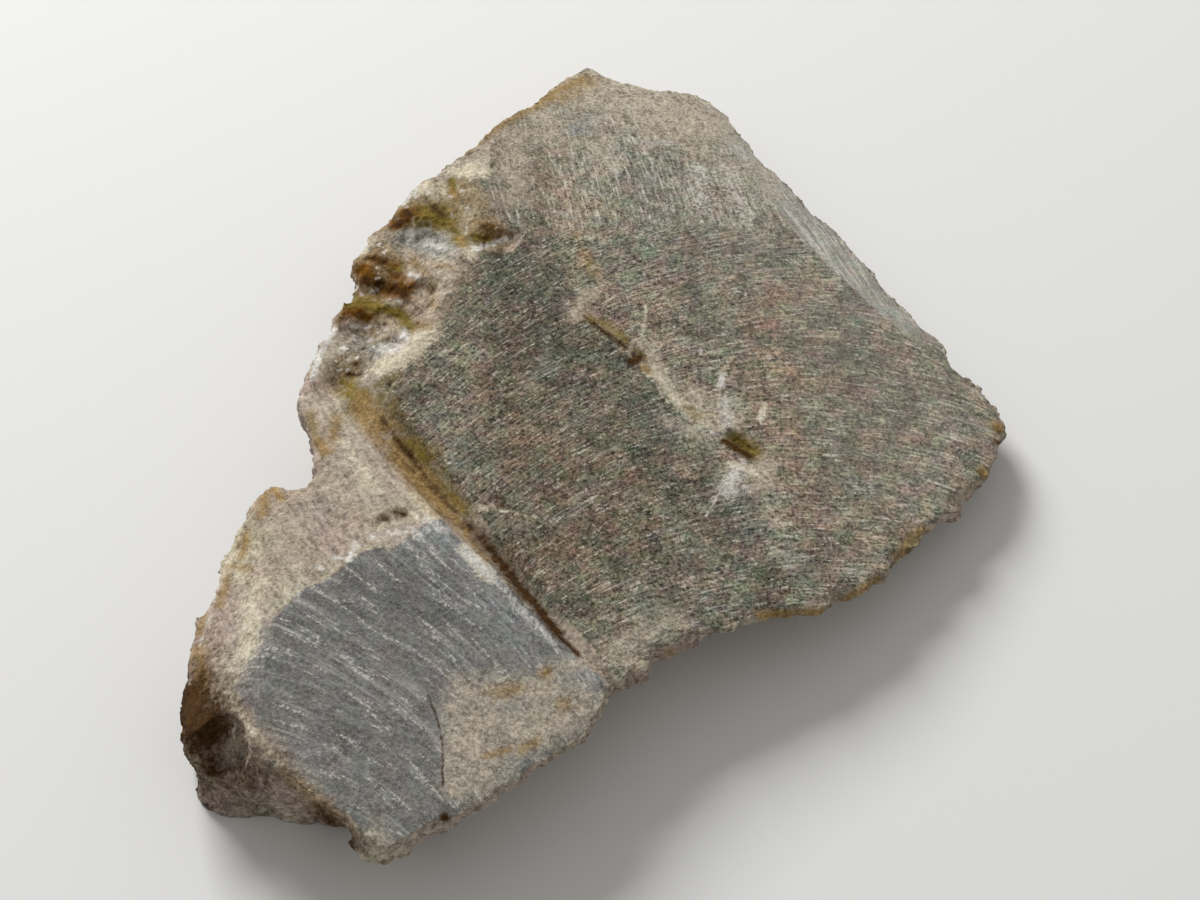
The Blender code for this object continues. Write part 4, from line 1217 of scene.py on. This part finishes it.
share = calculate(tree, "MULTIPLY", deep, CRUSHED_SHARE)
body = mix_colours(tree, share, body, colour(*CRUSHED_STONE))
# Painted glints: bright sparks where a fine line crosses a pale grain, painted into the colour.
painted_glints = remap(tree, calculate(tree, "MULTIPLY", lines, speckle), 0.42, 0.80)
body = mix_colours(tree, calculate(tree, "MULTIPLY", painted_glints, PAINTED_GLINT_SHARE), body, colour(*PAINTED_GLINT))
print("nodes so far:", len(tree.nodes))

# %% [markdown]
# ## The broken skin's colour
#
# Broken stone is cream and brown and much coarser. Where it faces up it splits along its
# cleavage, in fine fibres that all run one way. Seen on the steep sides the same fibres would
# look like fur, because a pattern laid out in plan is drawn out there, so the sides show small
# crystal faces instead. The two change over by how much the skin faces up.

# %% The broken skin
CLEAVAGE = {"Slope": -1.7, "Line Width": 0.09, "Line Length": 1.6, "Seed": 31.0}
CRUMB_DARK = (0.045, 0.030, 0.018)
CRUMB_LIGHT = (0.620, 0.530, 0.425)

cleavage = use_group(tree, scratches, {"Vector": where, **CLEAVAGE})["Fibres"]
upward = remap(tree, mark("facing_up"), 0.35, 0.80)
cleavage = calculate(tree, "MULTIPLY", cleavage, upward)
steep = calculate(tree, "MULTIPLY", facets["Tone"], inverse(upward))
cleavage = calculate(tree, "ADD", cleavage, steep)
grains = ((rough_grain["Speckle"], 0.20), (cleavage, 0.30), (speckle, 0.30))
tone = weighted(*grains, (facets["Tone"], 0.25))
crumbs = mix_colours(tree, tone, colour(*CRUMB_DARK), colour(*CRUMB_LIGHT))
crumbs = mix_colours(tree, 1.0, crumbs, rough_grain["Tint"], "MULTIPLY")
worn = calculate(tree, "MULTIPLY", mark("worn"), 1.2)
share = calculate(tree, "SUBTRACT", mark("broken_skin"), worn)
body = mix_colours(tree, remap(tree, share, 0.1, 0.7), body, crumbs)
print("nodes so far:", len(tree.nodes))

# %% [markdown]
# ## Veins that run through the stone
#
# Healed cracks show as thin white and cream lines, and open ones as dark hairlines. They are
# straight pieces end to end, and a noise sways them, since no crack in stone is ruled. A vein
# joins the strokes of its colour, so that it gets the same ragged edge and the same grain.

# %% The veins
VEINS = {
    # colour: half width, strength, pieces from start to end
    "white": (0.12, 0.57, (
        ((6.4, 2.9), (6.3, 2.1)), ((8.9, 0.4), (8.6, -0.6)), ((5.2, 4.7), (5.2, 4.3)),
        ((4.9, -1.2), (6.2, -1.8)), ((6.3, -5.4), (5.2, -7.5)), ((0.9, 22.9), (2.6, 22.2)),
    )),
    "cream": (0.14, 0.55, (
        ((6.3, 2.1), (6.2, 0.5)), ((7.0, -5.5), (8.5, -5.7)), ((8.5, -5.7), (9.2, -7.4)),
        ((2.2, 8.7), (2.0, 7.0)), ((2.0, 7.0), (1.8, 5.4)), ((1.8, 2.7), (3.4, 0.2)),
        ((3.4, 0.2), (5.0, -1.2)), ((-7.6, -8.2), (-4.2, -8.6)), ((0.2, 19.8), (1.0, 22.4)),
    )),
    "umber": (0.08, 0.64, (
        ((-9.7, -20.2), (-8.9, -22.5)), ((-8.9, -22.5), (-8.7, -25.5)),
        ((-1.7, 6.5), (-0.8, 5.6)), ((-0.8, 5.6), (0.8, 4.1)), ((-0.5, 7.2), (-0.6, 6.4)),
        ((1.3, 23.4), (1.5, 23.2)), ((6.3, -2.0), (8.1, -3.3)),
    )),
}
SWAY_SCALE = 1.1
SWAY = 0.45

inputs = {"Vector": where, "Scale": SWAY_SCALE, "Detail": 2.0}
sway = add_node(tree, "ShaderNodeTexNoise", inputs).outputs["Color"]
sway = stretch(tree, combine(tree, "SUBTRACT", sway, (0.5, 0.5, 0.5)), SWAY)
swaying = combine(tree, "ADD", where, sway)
vein_marks = {}
for name, (half_width, strong, pieces) in VEINS.items():
    line = 0.0
    for start, end in pieces:
        inputs = {
            "Vector": swaying, "Start": (*start, 0.0), "End": (*end, 0.0),
            "Half Width": half_width, "Before": line,
        }
        line = use_group(tree, vein, inputs)["Mark"]
    vein_marks[name] = calculate(tree, "MULTIPLY", line, strong)
    print(name, "vein pieces:", len(pieces))

# %% [markdown]
# ## Lay on the patches and stains
#
# Each has its own dark and light, mixed by the same grain as the rest, so that a stain looks
# soaked into the stone and not painted over it. Crusts of crushed stone are the most ragged, and
# iron covers nearly fully. Real layers of thin glassy iron could be built as shells over the
# skin, but they are thinner than the mesh is fine.

# %% The patches and stains
PATCHES = (
    # mark, ruggedness, grain size, softness, how much it covers, dark colour, light colour
    ("tan", 0.5, 0.8, 0.25, 0.88, (0.020, 0.009, 0.002), (0.400, 0.290, 0.155)),
    ("cool", 0.8, 0.6, 0.24, 0.75, (0.020, 0.022, 0.019), (0.400, 0.405, 0.375)),
    ("pink", 0.9, 0.9, 0.32, 0.62, (0.050, 0.032, 0.022), (0.530, 0.420, 0.305)),
    ("beige", 0.7, 0.8, 0.25, 0.82, (0.080, 0.060, 0.038), (0.640, 0.565, 0.448)),
    ("cream", 1.2, 0.32, 0.15, 0.90, (0.200, 0.155, 0.085), (0.740, 0.680, 0.530)),
    # The white row also lays the painted highlights on the worn crest and the left rim.
    ("white", 1.2, 0.27, 0.20, 0.90, (0.240, 0.218, 0.190), (0.800, 0.772, 0.720)),
    ("honey", 0.8, 0.5, 0.30, 0.96, (0.050, 0.032, 0.002), (0.235, 0.166, 0.024)),
    ("ochre", 0.8, 0.4, 0.28, 0.90, (0.085, 0.045, 0.007), (0.390, 0.255, 0.095)),
    ("amber", 0.9, 0.4, 0.28, 0.97, (0.032, 0.013, 0.001), (0.182, 0.070, 0.001)),
    # The umber row also lays the painted shade of the hollow, the underside and the foot of the groove.
    ("umber", 0.9, 0.4, 0.26, 0.97, (0.008, 0.003, 0.000), (0.070, 0.027, 0.001)),
)

patch_tone = weighted((rough_grain["Speckle"], 0.30), (speckle, 0.45), (facets["Tone"], 0.40))
masks = {}
for number, (name, ruggedness, size, softness, cover, dark, light) in enumerate(PATCHES):
    value = mark(name)
    if name in vein_marks:
        value = calculate(tree, "MAXIMUM", value, vein_marks[name])
    masks[name] = ragged_mask(value, ruggedness, size, softness, 5.0 + 11.0 * number)
    patch = mix_colours(tree, patch_tone, colour(*dark), colour(*light))
    body = mix_colours(tree, calculate(tree, "MULTIPLY", masks[name], cover), body, patch)
print("patches:", len(masks), " nodes so far:", len(tree.nodes))

# %% [markdown]
# ## Flashes of clear crystal
#
# In the pits a few crystal faces lie just so that they mirror the window. A true mirror flash
# comes and goes with the light, and would be lost as soon as the stone is turned, so the
# brightest cells are pale in themselves, a painted reflection. Stained crystal stays dark, and
# so do the places where the umber mark paints shade.

# %% The flashes
FLASH = (0.72, 0.69, 0.64)
FLASH_SHARE = 0.55

flash = calculate(tree, "MULTIPLY", facets["Flash"], remap(tree, mark("tan"), *SOFT_JOIN))
stain_and_shade = calculate(tree, "MAXIMUM", masks["amber"], masks["umber"])
stain_and_shade = calculate(tree, "MAXIMUM", masks["honey"], stain_and_shade)
flash = calculate(tree, "MULTIPLY", flash, inverse(stain_and_shade))
body = mix_colours(tree, calculate(tree, "MULTIPLY", flash, FLASH_SHARE), body, colour(*FLASH))
print("nodes so far:", len(tree.nodes))

# %% [markdown]
# ## Shine and relief
#
# A lapped face is matt, since its scratches scatter the light, and only the honey-coloured
# crystal has a slight gloss. Scratches and grains are also a relief of a few hundredths of a
# millimetre. That is far below the mesh, and its own shadows can't be seen, so a bump that
# only tilts the shading is enough.

# %% Shine, relief, and into the shader
MATT = 0.85
RELIEF_DEPTH = 0.04

shine = weighted((speckle, -0.10), (masks["honey"], -0.18), start=MATT)
height = weighted((lines, 0.4), (speckle, 0.6), (deep, -0.5))
inputs = {"Height": height, "Strength": 0.6, "Distance": RELIEF_DEPTH * MM}
bump = add_node(tree, "ShaderNodeBump", inputs)
tree.links.new(body, shader.inputs["Base Color"])
tree.links.new(shine, shader.inputs["Roughness"])
tree.links.new(bump.outputs["Normal"], shader.inputs["Normal"])
shader.inputs["IOR"].default_value = 1.6
shader.inputs["Specular IOR Level"].default_value = 0.06
slab.data.materials.clear()
slab.data.materials.append(material)
print("material:", len(tree.nodes), "nodes")

# %% [markdown]
# ## Hand the piece to the frame
#
# The dressed slab stands for the solid and moves with the only body.
# It could lie over the solid as a second layer, but the two skins would cut through each other.
# Two marks were only needed to shape the skin and are taken off, and the shading is smooth,
# because each small face of the mesh is a step of the sampling and not of the stone.

# %% Ride and replace
for name in ("strength", "base"):
    slab.data.attributes.remove(slab.data.attributes[name])
slab.data.polygons.foreach_set("use_smooth", [True] * len(slab.data.polygons))
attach(slab, "root")
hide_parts("herderite_slab")
triangles = sum(len(face.vertices) - 2 for face in slab.data.polygons)
print("piece:", slab.name, triangles, "triangles")

# %% [markdown]
# ## The floor
#
# The stone lies on a plain pale sheet. It is a single large square, a hair under the base, so
# that the two planes don't fight. It is marked as stage, since it isn't part of the stone.

# %% Lay the floor
FLOOR_HALF = 2.0
FLOOR_GAP = 0.02
PAPER = (0.72, 0.72, 0.71)

corners = [(-1, -1), (1, -1), (1, 1), (-1, 1)]
floor_mesh = bpy.data.meshes.new("floor")
floor_mesh.from_pydata([(FLOOR_HALF * x, FLOOR_HALF * y, 0.0) for x, y in corners], [], [(0, 1, 2, 3)])
floor = bpy.data.objects.new("floor", floor_mesh)
bpy.context.scene.collection.objects.link(floor)
floor.location.z = -FLOOR_GAP * MM
paper = bpy.data.materials.new("pale_paper")
paper.use_nodes = True
paper_shader = paper.node_tree.nodes["Principled BSDF"]
paper_shader.inputs["Base Color"].default_value = colour(*PAPER)
paper_shader.inputs["Roughness"].default_value = 0.8
floor_mesh.materials.append(paper)
floor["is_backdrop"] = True
print("floor:", 2.0 * FLOOR_HALF, "m square")

# %% [markdown]
# ## The light
#
# One broad soft light from behind on the left, like a window, is low enough to graze the ground
# faces. It shows the scratches and leaves the near edge in shade. A small bright lamp would
# draw hard shadows in the pits. A pale sky all round fills the shadows.

# %% The window and the sky
WINDOW_PLACE = (-0.20, 0.34, 0.30)
WINDOW_SIDE = 0.22
WINDOW_WATTS = 2.6
SKY = (1.0, 0.985, 0.96)
SKY_STRENGTH = 0.42


def aim(thing, place, target):
    """Put an object at a place, facing a target."""
    thing.location = place
    thing.rotation_euler = (Vector(target) - Vector(place)).to_track_quat("-Z", "Y").to_euler()


lamp = bpy.data.lights.new("window", "AREA")
lamp.size = WINDOW_SIDE
lamp.energy = WINDOW_WATTS
window = bpy.data.objects.new("window", lamp)
bpy.context.scene.collection.objects.link(window)
aim(window, WINDOW_PLACE, (0.0, 0.0, 0.0))
world = bpy.data.worlds.new("pale_room")
bpy.context.scene.world = world
world.use_nodes = True
world.node_tree.nodes["Background"].inputs["Color"].default_value = colour(*SKY)
world.node_tree.nodes["Background"].inputs["Strength"].default_value = SKY_STRENGTH
bpy.context.scene.view_settings.view_transform = "Standard"
print("window:", round(Vector(WINDOW_PLACE).length, 2), "m away")

# %% [markdown]
# ## The camera
#
# The camera looks down on the stone from the near side. A longer lens from farther off would
# flatten it, and a wide one up close would swell the near edge. This lens and distance keep the
# far end a little smaller than the near one, as the eye sees a stone in the hand.

# %% Place the camera
CAMERA_RISE = math.radians(52.0)
CAMERA_DISTANCE = 133.0
LOOK_AT = (-0.75, -3.845, 6.0)
FOCAL_LENGTH = 70.0
FILM_WIDTH = 36.0

lens = bpy.data.cameras.new("camera")
lens.lens = FOCAL_LENGTH
lens.sensor_width = FILM_WIDTH
lens.clip_start = 0.001
camera = bpy.data.objects.new("camera", lens)
bpy.context.scene.collection.objects.link(camera)
target = Vector(LOOK_AT) * MM
away = Vector((0.0, -math.cos(CAMERA_RISE), math.sin(CAMERA_RISE)))
aim(camera, target + away * CAMERA_DISTANCE * MM, target)
bpy.context.scene.camera = camera
print("camera:", [round(value / MM, 1) for value in camera.location], "mm")

# %% [markdown]
# ## Measure the size
#
# A skin that has grown by half a millimetre wouldn't be seen. The box of the dressed stone is
# measured and printed.

# %% Measure the box
low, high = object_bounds()
print("visual box:", [round(value / MM, 2) for value in (*low, *high)])
